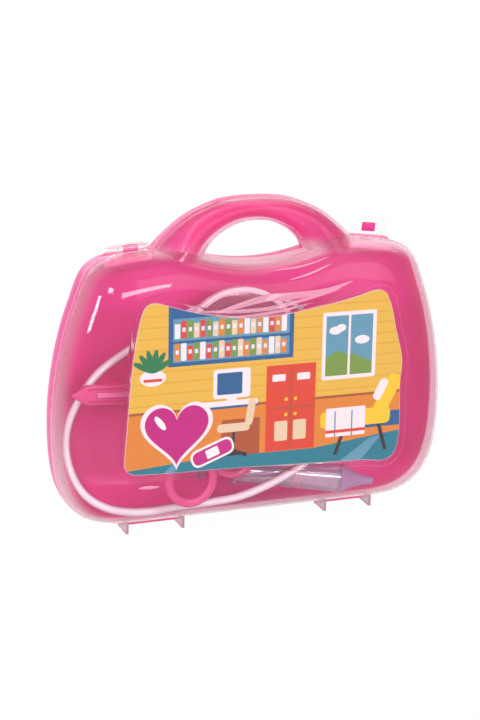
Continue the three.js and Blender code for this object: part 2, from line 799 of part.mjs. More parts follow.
// The thermometer: a flat bar with one pointed end, two grooves and a pale scale strip.
function thermometer() {
  const [end, side] = [thermoLength / 2, thermoHeight / 2];
  const outline = new THREE.Shape();
  outline.moveTo(-end, 0);
  outline.lineTo(-end + thermoPoint, -side);
  outline.lineTo(end, -side);
  outline.lineTo(end, side);
  outline.lineTo(-end + thermoPoint, side);
  outline.closePath();
  const bar = new THREE.ExtrudeGeometry(outline, { depth: thermoThickness, bevelEnabled: false })
    .rotateX(Math.PI / 2)
    .translate(0, thermoThickness / 2, 0);
  const face = -thermoThickness / 2;
  const grooves = [-1, 1].map((hand) => {
    const middle = (hand * side) / 2 + (hand * grooveWidth) / 2;
    return box(
      new THREE.Vector3(-end + thermoPoint, face - overcut, middle - grooveWidth / 2),
      new THREE.Vector3(end - thermoPoint, face + grooveDepth, middle + grooveWidth / 2),
    );
  });
  const seat = box(
    new THREE.Vector3(-end + scaleStart - gap, face - overcut, -scaleWidth / 2 - gap),
    new THREE.Vector3(end - thermoPoint + gap, face + scaleDepth + gap, scaleWidth / 2 + gap),
  );
  const strip = box(
    new THREE.Vector3(-end + scaleStart, face, -scaleWidth / 2),
    new THREE.Vector3(end - thermoPoint, face + scaleDepth, scaleWidth / 2),
  );
  return { bar: cut(solidOf(bar), grooves.concat(seat)), strip };
}

// The head mirror about y: a dished rim, the mirror laid in it and the stud behind it.
const mirrorHalf = mirrorThickness / 2;
const mirrorDisc = turned([
  [0, mirrorHalf - mirrorBase],
  [mirrorRadius - mirrorRim, mirrorHalf - mirrorBase],
  [mirrorRadius - mirrorRim, -mirrorHalf],
  [mirrorRadius, -mirrorHalf],
  [mirrorRadius, mirrorHalf],
  [0, mirrorHalf],
]);
const glassBack = mirrorHalf - mirrorBase - gap;
const mirrorGlass = turned([
  [0, glassBack - glassThickness],
  [mirrorRadius - mirrorRim - gap, glassBack - glassThickness],
  [mirrorRadius - mirrorRim - gap, glassBack],
  [0, glassBack],
]);
const mirrorStud = turned([
  [0, mirrorHalf + gap],
  [studRadius, mirrorHalf + gap],
  [studRadius * 0.8, mirrorHalf + gap + studLength],
  [0, mirrorHalf + gap + studLength],
]);

// A post on the back wall whose end stays a gap behind an instrument.
function post(x, z, instrumentBack, radius = postRadius) {
  return rod(
    new THREE.Vector3(x, backDepth - wall / 2, z),
    new THREE.Vector3(x, instrumentBack + gap, z),
    radius,
  );
}
// A place on the scissors: across and along, as seen from the front.
function onScissors(across, along) {
  const place = new THREE.Vector3(across, 0, along).applyAxisAngle(new THREE.Vector3(0, 1, 0), scissorsTurn);
  return place.add(scissorsPlace);
}
// A place on the syringe's axis at a share of the barrel's length from the nose.
const onSyringe = (share) => syringeNose.clone().addScaledVector(syringeAxis, share);
const bladePlace = onScissors(0, scissorsLength * bladeHoldShare);
const ringMiddle = (ringRadius + ringHole) / 2;
const ringPlace = onScissors(
  ringOffset + ringMiddle * Math.cos(ringHoldTurn),
  -ringMiddle * Math.sin(ringHoldTurn),
);
const gripPlace = onSyringe(gripHoldShare);
const nosePlace = onSyringe(noseHoldShare);
const syringeTilt = Math.hypot(syringeAxis.x, syringeAxis.z) / barrelLength;
const syringeSide = barrelRadius / syringeTilt + postRadius * Math.abs(syringeAxis.y / syringeAxis.x);
const thermoBack = thermoPlace.y + thermoThickness / 2;
const headsetHolds = [upperHeadsetPlaces.at(-2), lowerHeadsetPlaces.at(-2)];
const posts = [
  post(bladePlace.x, bladePlace.z, scissorsPlace.y + parting + bladeThickness),
  post(ringPlace.x, ringPlace.z, scissorsPlace.y + parting + ringThickness, (ringRadius - ringHole) / 2),
  post(gripPlace.x, gripPlace.z, gripPlace.y + syringeSide),
  post(nosePlace.x, nosePlace.z, nosePlace.y + syringeSide),
  post(thermoPlace.x, thermoPlace.z, thermoBack),
  post(thermoPlace.x + thermoLength / 3, thermoPlace.z, thermoBack),
  post(mirrorPlace.x, mirrorPlace.z, mirrorPlace.y + mirrorHalf + gap + studLength),
  post(chestPlace.x, chestPlace.z, chestPlace.y + chestBack),
  post(yokePlace.x, yokePlace.z, yokePlace.y + yokeRadius),
  ...headsetHolds.map((place) => post(place.x, place.z, place.y + headsetRadius, headsetRadius)),
];

const doctorCase = new THREE.Group();
doctorCase.name = "doctor_case";

// Adds a named mesh to a group.
function add(group, name, shape, material) {
  const geometry = shape.isBufferGeometry ? shape : geometryOf(shape);
  const mesh = new THREE.Mesh(geometry, material);
  mesh.name = name;
  group.add(mesh);
  return mesh;
}

add(doctorCase, "back_shell", backShell(posts), materials.pink);
add(doctorCase, "front_shell", frontShell(), materials.clear);

const cardFace = frontDepth + windowRise - wall - gap;
const card = loft([ringAt(cardOutline, -cardFace), ringAt(cardOutline, -(cardFace - cardThickness))]);
add(doctorCase, "picture_card", solidOf(card), materials.card);

for (const [side, name, turn] of [
  [-1, "left", leftLatchTurn],
  [1, "right", 0],
]) {
  const seat = new THREE.Group();
  latchFrame(side).decompose(seat.position, seat.quaternion, seat.scale);
  const pivot = new THREE.Group();
  pivot.position.set(0, latchAxisBack, -latchAxisDepth);
  pivot.rotation.x = turn;
  seat.add(pivot);
  add(pivot, `${name}_latch_tab`, latchTab(), materials.clear);
  add(pivot, `${name}_latch_hook`, latchHook(), materials.pink);
  doctorCase.add(seat);
}

const scissors = new THREE.Group();
scissors.position.copy(scissorsPlace);
scissors.rotation.y = scissorsTurn;
add(scissors, "scissors_front_half", scissorHalf(-1, -1), materials.tool).position.y = -parting;
add(scissors, "scissors_back_half", scissorHalf(1, 1), materials.tool).position.y = parting;
add(scissors, "scissors_rivet", scissorRivet(), materials.lavender).position.z = pivotHeight;
doctorCase.add(scissors);

const syringe = new THREE.Group();
syringe.position.copy(syringeNose);
syringe.quaternion.setFromUnitVectors(new THREE.Vector3(0, 1, 0), syringeAxis.clone().normalize());
add(syringe, "syringe_barrel", syringeBarrel, materials.clear);
add(syringe, "syringe_nozzle", syringeNozzle, materials.lavender);
add(syringe, "syringe_plunger", syringePlunger, materials.lavender);
add(syringe, "plunger_seal", plungerSeal, materials.tool);
doctorCase.add(syringe);

add(doctorCase, "stethoscope_tube", cord(tubePlaces, tubeRadius, tubeSteps), materials.white);
add(doctorCase, "chest_piece", chestPiece, materials.tool).position.copy(chestPlace);
add(doctorCase, "diaphragm", diaphragm, materials.white).position.copy(chestPlace);
const yokeMesh = add(doctorCase, "headset_yoke", yoke, materials.tool);
yokeMesh.position.copy(yokePlace);
const tubeStart = tubePlaces[0];
const yokeDirection = new THREE.Vector3().subVectors(yokePlace, tubeStart).normalize();
yokeMesh.quaternion.setFromUnitVectors(new THREE.Vector3(0, 1, 0), yokeDirection);
for (const [name, places] of [
  ["upper", upperHeadsetPlaces],
  ["lower", lowerHeadsetPlaces],
]) {
  add(doctorCase, `headset_tube_${name}`, cord(places, headsetRadius, headsetSteps), materials.white);
  const tip = add(doctorCase, `ear_tip_${name}`, earTip, materials.tool);
  const end = places.at(-1);
  const before = places.at(-2);
  const along = end.clone().sub(before).normalize();
  tip.position.copy(end).addScaledVector(along, gap);
  tip.quaternion.setFromUnitVectors(new THREE.Vector3(0, 1, 0), along);
}

const thermo = new THREE.Group();
thermo.position.copy(thermoPlace);
thermo.rotation.y = thermoTurn;
const { bar, strip } = thermometer();
add(thermo, "thermometer_body", bar, materials.tool);
add(thermo, "thermometer_scale", strip, materials.white);
doctorCase.add(thermo);

const headMirror = new THREE.Group();
headMirror.position.copy(mirrorPlace);
add(headMirror, "mirror_disc", mirrorDisc, materials.white);
add(headMirror, "mirror_glass", mirrorGlass, materials.silver);
add(headMirror, "mirror_stud", mirrorStud, materials.tool);
doctorCase.add(headMirror);

export default doctorCase;
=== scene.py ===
"""Toy doctor case: a clear front shell hinged to a pink back shell, with play instruments inside.

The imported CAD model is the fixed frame. Each sub-assembly below is a class whose fields are its sizes
in millimetres and whose methods work out its surfaces and dress them.
"""

import logging
import math
from dataclasses import dataclass
from enum import Enum
from typing import Any, Sequence

import bpy
import numpy as np
from mathutils import Matrix, Vector

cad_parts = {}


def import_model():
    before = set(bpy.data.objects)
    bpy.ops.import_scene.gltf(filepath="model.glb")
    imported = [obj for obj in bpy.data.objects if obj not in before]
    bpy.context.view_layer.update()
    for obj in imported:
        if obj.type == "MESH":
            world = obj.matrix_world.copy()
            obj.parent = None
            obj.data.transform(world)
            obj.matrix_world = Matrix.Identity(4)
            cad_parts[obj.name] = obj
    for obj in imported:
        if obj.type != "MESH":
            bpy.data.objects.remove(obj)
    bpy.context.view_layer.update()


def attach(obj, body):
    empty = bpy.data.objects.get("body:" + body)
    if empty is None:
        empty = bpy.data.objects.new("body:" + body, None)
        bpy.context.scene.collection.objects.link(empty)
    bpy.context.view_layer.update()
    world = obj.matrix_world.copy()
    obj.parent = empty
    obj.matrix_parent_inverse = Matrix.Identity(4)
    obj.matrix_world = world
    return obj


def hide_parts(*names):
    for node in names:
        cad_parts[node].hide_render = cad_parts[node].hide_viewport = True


log = logging.getLogger("doctor_case")
MM = 0.001
FRAME_WIDTH = 480
FRAME_HEIGHT = 720
SENSOR = 36.0
FULL_TURN = 2 * math.pi
QUARTER_TURN = math.pi / 2
PAST_PARTING = -3.0

Colour = tuple[int, int, int]
Place = tuple[float, float, float]
Socket = bpy.types.NodeSocket


class Body(Enum):
    """The rigid bodies of the case that a piece can ride on."""

    BACK = "case_back"
    LID = "lid"
    LEFT_LATCH = "left_latch"
    RIGHT_LATCH = "right_latch"
    SCISSORS = "scissors_blade"
    PLUNGER = "plunger"


class Slot(Enum):
    """The material slots of the record."""

    PINK = "pink_plastic"
    CLEAR = "clear_plastic"
    TOOL = "tool_pink"
    LAVENDER = "lavender_plastic"
    PALE = "pale_plastic"
    CARD = "printed_card"
    MIRROR = "toy_mirror"


def linear(rgb: Colour) -> tuple[float, float, float, float]:
    """Turns an 8-bit sRGB colour into linear light.

    Args:
        rgb: Red, green and blue from 0 to 255.

    Returns:
        Linear red, green, blue and an alpha of one.
    """
    share = np.asarray(rgb, dtype=float) / 255.0
    light = np.where(share <= 0.04045, share / 12.92, ((share + 0.055) / 1.055) ** 2.4)
    return float(light[0]), float(light[1]), float(light[2]), 1.0


class Wiring:
    """Adds nodes to a node tree and links them."""

    def __init__(self, tree: bpy.types.NodeTree) -> None:
        """Takes the tree that the nodes go into."""
        self.tree = tree

    def feed(self, node: bpy.types.Node, inputs: dict[str | int, Any]) -> None:
        """Feeds a node's inputs.

        Args:
            node: The node.
            inputs: For each input's name or number, the socket that feeds it or its plain value.
        """
        for key, value in inputs.items():
            if isinstance(value, bpy.types.NodeSocket):
                self.tree.links.new(value, node.inputs[key])
            else:
                node.inputs[key].default_value = value

    def add(self, kind: str, inputs: dict[str | int, Any] | None = None, **settings: Any) -> bpy.types.Node:
        """Adds a node.

        Args:
            kind: Blender's name of its type, after the word ShaderNode.
            inputs: What feeds its inputs.
            settings: Its own settings, which are set first.

        Returns:
            The new node.
        """
        node = self.tree.nodes.new(f"ShaderNode{kind}")
        for key, value in settings.items():
            setattr(node, key, value)
        self.feed(node, inputs or {})
        return node

    def calc(self, operation: str, *terms: Socket | float) -> Socket:
        """Adds a calculation of sockets and numbers, and gives its result."""
        return self.add("Math", dict(enumerate(terms)), operation=operation).outputs[0]

    def facing(self) -> Socket:
        """Gives how far the surface turns away from the eye."""
        return self.add("LayerWeight", {"Blend": 0.5}).outputs["Facing"]

    def tinted(self, share: Socket, first: Any, second: Any) -> Socket:
        """Mixes two colours by a share."""
        return self.add("Mix", {"Factor": share, "A": first, "B": second}, data_type="RGBA").outputs["Result"]

    def blended(self, share: Socket, first: Socket, second: Socket) -> Socket:
        """Mixes two shaders by a share."""
        return self.add("MixShader", {"Fac": share, 1: first, 2: second}).outputs["Shader"]

    def ramp(self, value: Socket, span: tuple[float, float], low: float, high: float) -> Socket:
        """Adds a smooth ramp over a span of a value, and gives its result."""
        inputs = {"Value": value, "From Min": span[0], "From Max": span[1], "To Min": low, "To Max": high}
        return self.add("MapRange", inputs, interpolation_type="SMOOTHSTEP").outputs["Result"]

    def seen_rays(self) -> Socket:
        """Adds the test for rays that show the background: seen, mirrored or seen through plastic.

        Returns:
            The socket that is one for such a ray.
        """
        path = self.add("LightPath").outputs
        seen = self.calc("MAXIMUM", path["Is Camera Ray"], path["Is Transmission Ray"])
        return self.calc("MAXIMUM", seen, path["Is Glossy Ray"])


def new_material(name: str) -> tuple[bpy.types.Material, Wiring, bpy.types.Node]:
    """Makes a material.

    Args:
        name: Its name.

    Returns:
        The material, its wiring and its own shader.
    """
    material = bpy.data.materials.new(name)
    material.use_nodes = True
    return material, Wiring(material.node_tree), material.node_tree.nodes["Principled BSDF"]


def moulding_group() -> bpy.types.ShaderNodeTree:
    """Builds the shared effect of moulded plastic: cloudy colour, a fine skin and a soft sheen.

    Returns:
        A node group with two colours, two scales, an amount and a smoothness as inputs, and a colour, a
        roughness and a height as outputs.
    """
    group = bpy.data.node_groups.new("moulded_skin", "ShaderNodeTree")
    for name, kind, value in (
        ("Colour", "Color", (0.8, 0.1, 0.3, 1.0)),
        ("Tint", "Color", (0.6, 0.05, 0.2, 1.0)),
        ("Cloud Scale", "Float", 14.0),
        ("Cloud Amount", "Float", 0.25),
        ("Grain Scale", "Float", 900.0),
        ("Smooth", "Float", 0.25),
    ):
        socket = group.interface.new_socket(name=name, in_out="INPUT", socket_type=f"NodeSocket{kind}")
        socket.default_value = value
    for name, kind in (("Colour", "Color"), ("Roughness", "Float"), ("Height", "Float")):
        group.interface.new_socket(name=name, in_out="OUTPUT", socket_type=f"NodeSocket{kind}")
    grain_roughness = 0.12
    wire = Wiring(group)
    given = group.nodes.new("NodeGroupInput").outputs
    place = wire.add("TexCoord").outputs["Object"]
    cloud, grain = (
        wire.add("TexNoise", {"Vector": place, "Scale": given[scale], "Detail": detail}).outputs["Fac"]
        for scale, detail in (("Cloud Scale", 3.0), ("Grain Scale", 2.0))
    )
    colour = wire.tinted(wire.calc("MULTIPLY", cloud, given["Cloud Amount"]), given["Colour"], given["Tint"])
    rough = wire.calc("MULTIPLY_ADD", grain, grain_roughness, given["Smooth"])
    wire.feed(group.nodes.new("NodeGroupOutput"), {"Colour": colour, "Roughness": rough, "Height": grain})
    return group


@dataclass(frozen=True)
class Finish:
    """What every finish has.

    Attributes:
        name: The material's name.
        slot: The record's material slot of this finish.
        colour: Main colour, 8-bit sRGB.
    """

    name: str
    slot: Slot
    colour: Colour


@dataclass(frozen=True)
class Plastic(Finish):
    """An opaque moulded plastic.

    Attributes:
        tint: Colour that the cloudy streaks turn towards.
        smooth: Lowest roughness.
        cloud: How far the streaks go towards the tint.
        coat: Clear gloss over the colour.
        subsurface: Light that soaks into the plastic.
        gloss: Share of the plain reflection, a half being that of plastic.
        painted_edge_shade: Darker colour towards edges that turn away from the eye: painted shade.
        cloud_scale: Streaks per metre.
        grain: Height of the fine skin, metres.
    """

    tint: Colour
    smooth: float = 0.22
    cloud: float = 0.35
    coat: float = 0.3
    subsurface: float = 0.0
    gloss: float = 0.5
    painted_edge_shade: Colour | None = None
    cloud_scale: float = 14.0
    grain: float = 0.00002

    def build(self, skin: bpy.types.ShaderNodeTree) -> bpy.types.Material:
        """Makes the material from the shared skin group.

        Args:
            skin: The node group of the moulded skin.

        Returns:
            The finished material.
        """
        material, wire, shader = new_material(self.name)
        inputs = {
            "Colour": linear(self.colour), "Tint": linear(self.tint), "Cloud Scale": self.cloud_scale,
            "Cloud Amount": self.cloud, "Smooth": self.smooth,
        }
        effect = wire.add("Group", inputs, node_tree=skin).outputs
        colour = effect["Colour"]
        # Painted shade: the colour goes darker towards the edges that turn away from the eye.
        if self.painted_edge_shade is not None:
            colour = wire.tinted(wire.facing(), colour, linear(self.painted_edge_shade))
        bump = wire.add("Bump", {"Strength": 0.35, "Distance": self.grain, "Height": effect["Height"]})
        wire.feed(shader, {
            "Base Color": colour, "Roughness": effect["Roughness"], "Normal": bump.outputs["Normal"],
            "Coat Weight": self.coat, "Coat Roughness": 0.08, "IOR": 1.49, "Specular IOR Level": self.gloss,
            "Subsurface Weight": self.subsurface, "Subsurface Scale": 0.004,
        })
        return material


@dataclass(frozen=True)
class ClearPlastic(Finish):
    """A see-through moulded plastic, milky, with a painted sheen where it is seen along its wall and painted
    pale light along its side wall; its shadows stay light.

    The milky share of the side wall, with its span and its fades, is painted pale light fitted to the
    object's look.

    Attributes:
        shade: Colour that light keeps after passing it.
        milk: Colour of its cloudy share, also of its painted sheen and painted pale light.
        base: Cloudy share seen square on.
        edge: Further share where the plastic is seen along its wall: partly milkiness, partly a painted
            sheen.
        band: Further pale share of the side wall: painted pale light of the wall seen edge-on.
        coat: Share of the full gloss.
        coat_ior: Index of refraction of that gloss.
        roughness: Roughness of its skin.
        ior: Index of refraction.
        lip: Depths in metres between which the wall's share rises.
        grip: Heights in metres between which it fades out again, below the handle.
        painted_pale_fade: Ways from the upper left in metres between which the painted pale light rises to
            its full share.
        slant: Part of the height that counts against that way.
        painted_pale_least: Share of the wall's painted pale light that the upper left keeps.
    """

    shade: Colour
    milk: Colour
    base: float
    edge: float
    band: float = 0.0
    coat: float = 0.5
    coat_ior: float = 1.5
    roughness: float = 0.03
    ior: float = 1.13
    lip: tuple[float, float] = (-0.018, -0.0105)
    grip: tuple[float, float] = (0.176, 0.186)
    painted_pale_fade: tuple[float, float] = (-0.2, -0.13)
    slant: float = -0.6
    painted_pale_least: float = 0.25

    def build(self, skin: bpy.types.ShaderNodeTree) -> bpy.types.Material:
        """Makes the material: glass to the eye, a plain tint to shadow and bounce light.

        Args:
            skin: The node group of the moulded skin, whose height gives the faint waviness.

        Returns:
            The finished material.
        """
        material, wire, glass = new_material(self.name)
        gloss = {"Coat Weight": self.coat, "Coat Roughness": self.roughness, "Coat IOR": self.coat_ior}
        inputs = {"Colour": linear(self.milk), "Tint": linear(self.shade), "Grain Scale": 34.0}
        effect = wire.add("Group", inputs, node_tree=skin).outputs
        bump = wire.add("Bump", {"Strength": 0.2, "Distance": 0.0006, "Height": effect["Height"]})
        wire.feed(glass, {
            "Base Color": linear(self.colour), "Transmission Weight": 1.0, "Roughness": self.roughness,
            "IOR": self.ior, "Normal": bump.outputs["Normal"], **gloss,
        })
        cloudy = wire.add("BsdfPrincipled", {"Base Color": effect["Colour"], "Roughness": 0.35, **gloss})
        through = wire.add("BsdfTransparent", {"Color": linear(self.shade)})
        path = wire.add("LightPath").outputs
        either = wire.calc("MAXIMUM", path["Is Shadow Ray"], path["Is Diffuse Ray"])
        # The cloudy share carries the painted sheen and the painted pale light of the side wall.
        seen = wire.blended(self.cloud_and_painted_light(wire), glass.outputs["BSDF"], cloudy.outputs["BSDF"])
        surface = wire.blended(either, seen, through.outputs["BSDF"])
        wire.feed(material.node_tree.nodes["Material Output"], {"Surface": surface})
        return material

    def cloud_and_painted_light(self, wire: Wiring) -> Socket:
        """Adds the cloudy share to the material, with its painted sheen and painted pale light.

        It is the base, plus the edge times the fourth power of the facing weight (a painted sheen), plus the
        band times a ramp over the depth (painted pale light), which fades out towards the handle and towards
        the upper left.

        Args:
            wire: The material's wiring.

        Returns:
            The socket that holds the share.
        """
        # Painted sheen: the cloudy share grows where the surface turns away from the eye.
        share = wire.calc("MULTIPLY_ADD", wire.calc("POWER", wire.facing(), 4.0), self.edge, self.base)
        if self.band <= 0:
            return share
        # Painted pale light along the side wall, fading out towards the handle.
        place = wire.add("TexCoord").outputs["Object"]
        x, y, z = wire.add("SeparateXYZ", {"Vector": place}).outputs
        below_grip = wire.ramp(z, self.grip, 1.0, 0.0)
        wall = wire.calc("MULTIPLY", wire.ramp(y, self.lip, 0.0, self.band), below_grip)
        # Painted light: the pale band keeps less at the upper left than at the lower right.
        along = wire.calc("MULTIPLY_ADD", z, self.slant, x)
        wall = wire.calc("MULTIPLY", wall, wire.ramp(along, self.painted_pale_fade, self.painted_pale_least, 1.0))
        return wire.calc("MINIMUM", wire.calc("ADD", share, wall), 1.0)


@dataclass(frozen=True)
class Silvering(Finish):
    """The mirror's silvered face.

    Attributes:
        tint: Colour that its cloudy streaks turn towards.
    """

    tint: Colour

    def build(self, skin: bpy.types.ShaderNodeTree) -> bpy.types.Material:
        """Makes the silver with a faint waviness.

        Args:
            skin: The node group of the moulded skin.

        Returns:
            The finished material.
        """
        material, wire, shader = new_material(self.name)
        inputs = {"Colour": linear(self.colour), "Tint": linear(self.tint)}
        inputs |= {"Grain Scale": 60.0, "Smooth": 0.05}
        effect = wire.add("Group", inputs, node_tree=skin).outputs
        wire.feed(shader, {"Metallic": 1.0, "Base Color": effect["Colour"], "Roughness": effect["Roughness"]})
        return material


INKS = (
    ("ochre", (232, 192, 68), (226, 184, 58), 0.3),
    ("amber", (222, 170, 52), (214, 160, 44), 0.3),
    ("teal", (16, 128, 146), (10, 118, 138), 0.35),
    ("orange", (226, 140, 44), (216, 126, 36), 0.35),
    ("red", (222, 66, 38), (208, 56, 34), 0.35),
    ("brown", (172, 84, 36), (158, 74, 32), 0.35),
    ("blue", (22, 96, 150), (18, 88, 140), 0.35),
    ("sky", (96, 160, 184), (84, 150, 176), 0.35),
    ("white", (246, 246, 244), (236, 236, 236), 0.35),
    ("cream", (234, 216, 176), (226, 206, 162), 0.35),
    ("yellow", (248, 212, 36), (240, 200, 28), 0.35),
    ("green", (118, 160, 60), (104, 148, 52), 0.35),
    ("leaf", (20, 128, 74), (16, 116, 66), 0.35),
    ("black", (40, 38, 46), (34, 32, 40), 0.35),
    ("magenta", (200, 44, 136), (184, 34, 122), 0.35),
)
FINISHES = (
    Plastic("shell_pink", Slot.PINK, (240, 54, 152), (230, 46, 140), 0.28, 0.4, coat=0.15, gloss=0.4),
    Plastic("tool_pink", Slot.TOOL, (228, 58, 138), (214, 50, 124), 0.28, subsurface=0.1),
    Plastic("latch_pink", Slot.PINK, (232, 44, 146), (218, 38, 132), 0.25),
    Plastic("lavender", Slot.LAVENDER, (170, 124, 170), (154, 108, 154), 0.3, subsurface=0.1),
    # The tube's white turns mauve at its turned-away edges: painted shade.
    Plastic(
        "tube_white", Slot.PALE, (250, 232, 242), (240, 216, 230), 0.14,
        coat=1.0, subsurface=0.1, painted_edge_shade=(140, 84, 116),
    ),
    Plastic("dish_white", Slot.PALE, (250, 222, 234), (244, 206, 222), 0.26, subsurface=0.1),
    Plastic("scale_pink", Slot.PALE, (244, 112, 176), (236, 98, 164), 0.3),
    # The front shell: its edge share is a painted sheen and its band share is painted pale light.
    ClearPlastic("clear", Slot.CLEAR, (255, 250, 252), (255, 248, 251), (240, 196, 208), 0.003, 0.6, 0.46),
    # Pale frosted plastic for the swoosh ridges: its milk paints the gleams on the relief.
    ClearPlastic("frosted_painted_gleam", Slot.CLEAR, (255, 250, 252), (255, 244, 249), (250, 178, 204), 0.32, 0.2),
    # A darker, pinker copy of the clear plastic for the hinge ears: painted shade and painted pink light from
    # the shell.
    ClearPlastic("ear_clear_painted_shade", Slot.CLEAR, (250, 236, 240), (250, 236, 240), (196, 152, 162), 0.5, 0.3),
    ClearPlastic("tab_clear", Slot.CLEAR, (255, 252, 253), (255, 248, 251), (250, 236, 240), 0.07, 0.15),
    ClearPlastic(
        "barrel_clear", Slot.CLEAR, (250, 244, 253), (248, 238, 250), (164, 150, 176), 0.22, 0.6,
        coat=1.0, coat_ior=2.1,
    ),
    Silvering("silvered_face", Slot.MIRROR, (236, 190, 208), (226, 172, 194)),
    *(
        Plastic(f"ink_{name}", Slot.CARD, colour, tint, 0.4, cloud, coat=0.0, gloss=0.12)
        for name, colour, tint, cloud in INKS
    ),
)


@dataclass
class Surface:
    """Points in millimetres and the faces between them."""

    points: np.ndarray
    faces: list

    def mesh(self, name: str) -> bpy.types.Mesh:
        """Puts the surface into a Blender mesh, in metres.

        Args:
            name: The mesh's name.

        Returns:
            The new mesh.
        """
        mesh = bpy.data.meshes.new(name)
        mesh.from_pydata((self.points * MM).tolist(), [], self.faces)
        mesh.validate()
        mesh.update()
        return mesh

    def under(self, matrix: Matrix) -> "Surface":
        """Gives the surface under a 4 by 4 matrix in millimetres."""
        m = np.array(matrix)
        return Surface(self.points @ m[:3, :3].T + m[:3, 3], self.faces)

    def plus(self, *others: "Surface") -> "Surface":
        """Gives this surface and others as one.

        Args:
            others: The surfaces to add to it.

        Returns:
            The joined surface.
        """
        points = [self.points]
        faces = list(self.faces)
        start = len(self.points)
        for other in others:
            points.append(other.points)
            faces += [tuple(i + start for i in face) for face in other.faces]
            start += len(other.points)
        return Surface(np.concatenate(points), faces)


def placed(name: str, data: bpy.types.ID) -> bpy.types.Object:
    """Makes an object of some data and puts it into the scene.

    Args:
        name: Its name.
        data: The mesh, camera or light that it shows.

    Returns:
        The new object.
    """
    made = bpy.data.objects.new(name, data)
    bpy.context.scene.collection.objects.link(made)
    return made


def discard(helper: bpy.types.Object) -> None:
    """Removes a helping object and its mesh.

    Args:
        helper: The object.
    """
    mesh = helper.data
    bpy.data.objects.remove(helper)
    bpy.data.meshes.remove(mesh)


class Workshop:
    """Holds the finishes and turns worked-out surfaces into dressed pieces."""

    def __init__(self) -> None:
        """Builds the shared skin and every finish once."""
        skin = moulding_group()
        self.finishes = {finish.name: (finish.build(skin), finish.slot) for finish in FINISHES}

    def dress(
        self,
        made: bpy.types.Object,
        finish: str,
        node: str = "",
        body: Body = Body.BACK,
        crease: float = 34.0,
    ) -> None:
        """Gives an object its finish and its body.

        Args:
            made: The object.
            finish: The name of its finish.
            node: The CAD node that it stands for, if it stands for one.
            body: The body that it rides on.
            crease: Angle in degrees over which an edge stays sharp.
        """
        material, slot = self.finishes[finish]
        made.data.materials.clear()
        made.data.materials.append(material)
        made.data.shade_smooth()
        made.data.set_sharp_from_angle(angle=math.radians(crease))
        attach(made, body.value)
        if node:
            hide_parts(node)
        log.info("%s: %d faces on %s", made.name, len(made.data.polygons), body.value)

    def piece(self, name: str, surface: Surface, *dressing: Any) -> None:
        """Makes a finished piece of a surface; the rest says how to dress it."""
        self.dress(placed(name, surface.mesh(name)), *dressing)

    def pieces(self, place: Matrix, *rows: tuple) -> None:
        """Makes pieces under one matrix, each from a row of its name, its surface and its dressing."""
        for name, surface, *dressing in rows:
            self.piece(name, surface.under(place), *dressing)


def volume_of(points: np.ndarray, faces: Sequence[Sequence[int]]) -> float:
    """Works out six times the signed volume inside closed faces.

    Args:
        points: Corner places.
        faces: Corner lists of the faces.

    Returns:
        Six times the volume, positive where the faces point outwards.
    """
    total = 0.0
    by_size: dict[int, list] = {}
    for face in faces:
        by_size.setdefault(len(face), []).append(face)
    for size, group in by_size.items():
        corners = points[np.array(group)]
        for k in range(1, size - 1):
            a, b, c = corners[:, 0], corners[:, k], corners[:, k + 1]
            total += float(np.einsum("ij,ij->i", a, np.cross(b, c)).sum())
    return total


def skinned(grid: np.ndarray, closed: bool = False) -> Surface:
    """Skins a grid of rings whose points match, and turns its faces outwards.

    Each face joins four neighbours of the grid; the first and last rings are filled by one face each
    unless the grid is closed on itself.

    Args:
        grid: Points as rings by places by three.
        closed: Whether the last ring joins the first one.

    Returns:
        The closed surface.
    """
    rings, count = grid.shape[:2]
    points = grid.reshape(-1, 3)
    ring = np.arange(rings if closed else rings - 1)[:, None] * count
    step = np.arange(count)[None, :]
    ahead = (step + 1) % count
    above = (ring + count) % (rings * count)
    faces = np.stack([ring + step, ring + ahead, above + ahead, above + step], axis=-1).reshape(-1, 4)
    listed = [tuple(face) for face in faces.tolist()]
    if not closed:
        listed.append(tuple(range(count - 1, -1, -1)))
        listed.append(tuple(range((rings - 1) * count, rings * count)))
    if volume_of(points, listed) < 0:
        listed = [face[::-1] for face in listed]
    return Surface(points, listed)


def shifted(outline: np.ndarray, distance: float) -> np.ndarray:
    """Moves an anticlockwise outline outwards along its normals.

    Args:
        outline: Points as places by two.
        distance: Outwards distance, negative for inwards.

    Returns:
        The moved outline.
    """
    along = np.roll(outline, -1, axis=0) - np.roll(outline, 1, axis=0)
    outward = np.stack([along[:, 1], -along[:, 0]], axis=1)
    length = np.linalg.norm(outward, axis=1, keepdims=True)
    return outline + outward / np.maximum(length, 1e-9) * distance


def standing(outline: np.ndarray, y: float) -> np.ndarray:
    """Sets an outline of width and height up at a depth."""
    return np.stack([outline[:, 0], np.full(len(outline), y), outline[:, 1]], axis=1)


def slab(outline: np.ndarray, near: float, far: float, bevel: float = 0.0, steps: int = 3) -> Surface:
    """Makes a plate of an outline with quarter-round edges.

    The ring at an edge angle lies inwards by the bevel times one less its sine, and in depth by the
    bevel times one less its cosine.

    Args:
        outline: Anticlockwise outline of width and height.
        near: Depth of its front face.
        far: Depth of its back face.
        bevel: Radius of the rounded edges.
        steps: Steps of each rounded edge.

    Returns:
        The closed plate.
    """
    if bevel <= 0:
        return skinned(np.stack([standing(outline, near), standing(outline, far)]))
    turn = np.linspace(0, QUARTER_TURN, steps + 1)
    inset = bevel * (1 - np.sin(turn))
    depth = bevel * (1 - np.cos(turn))
    front = [standing(shifted(outline, -i), near + d) for i, d in zip(inset, depth)]
    back = [standing(shifted(outline, -i), far - d) for i, d in zip(inset[::-1], depth[::-1])]
    return skinned(np.stack(front + back))


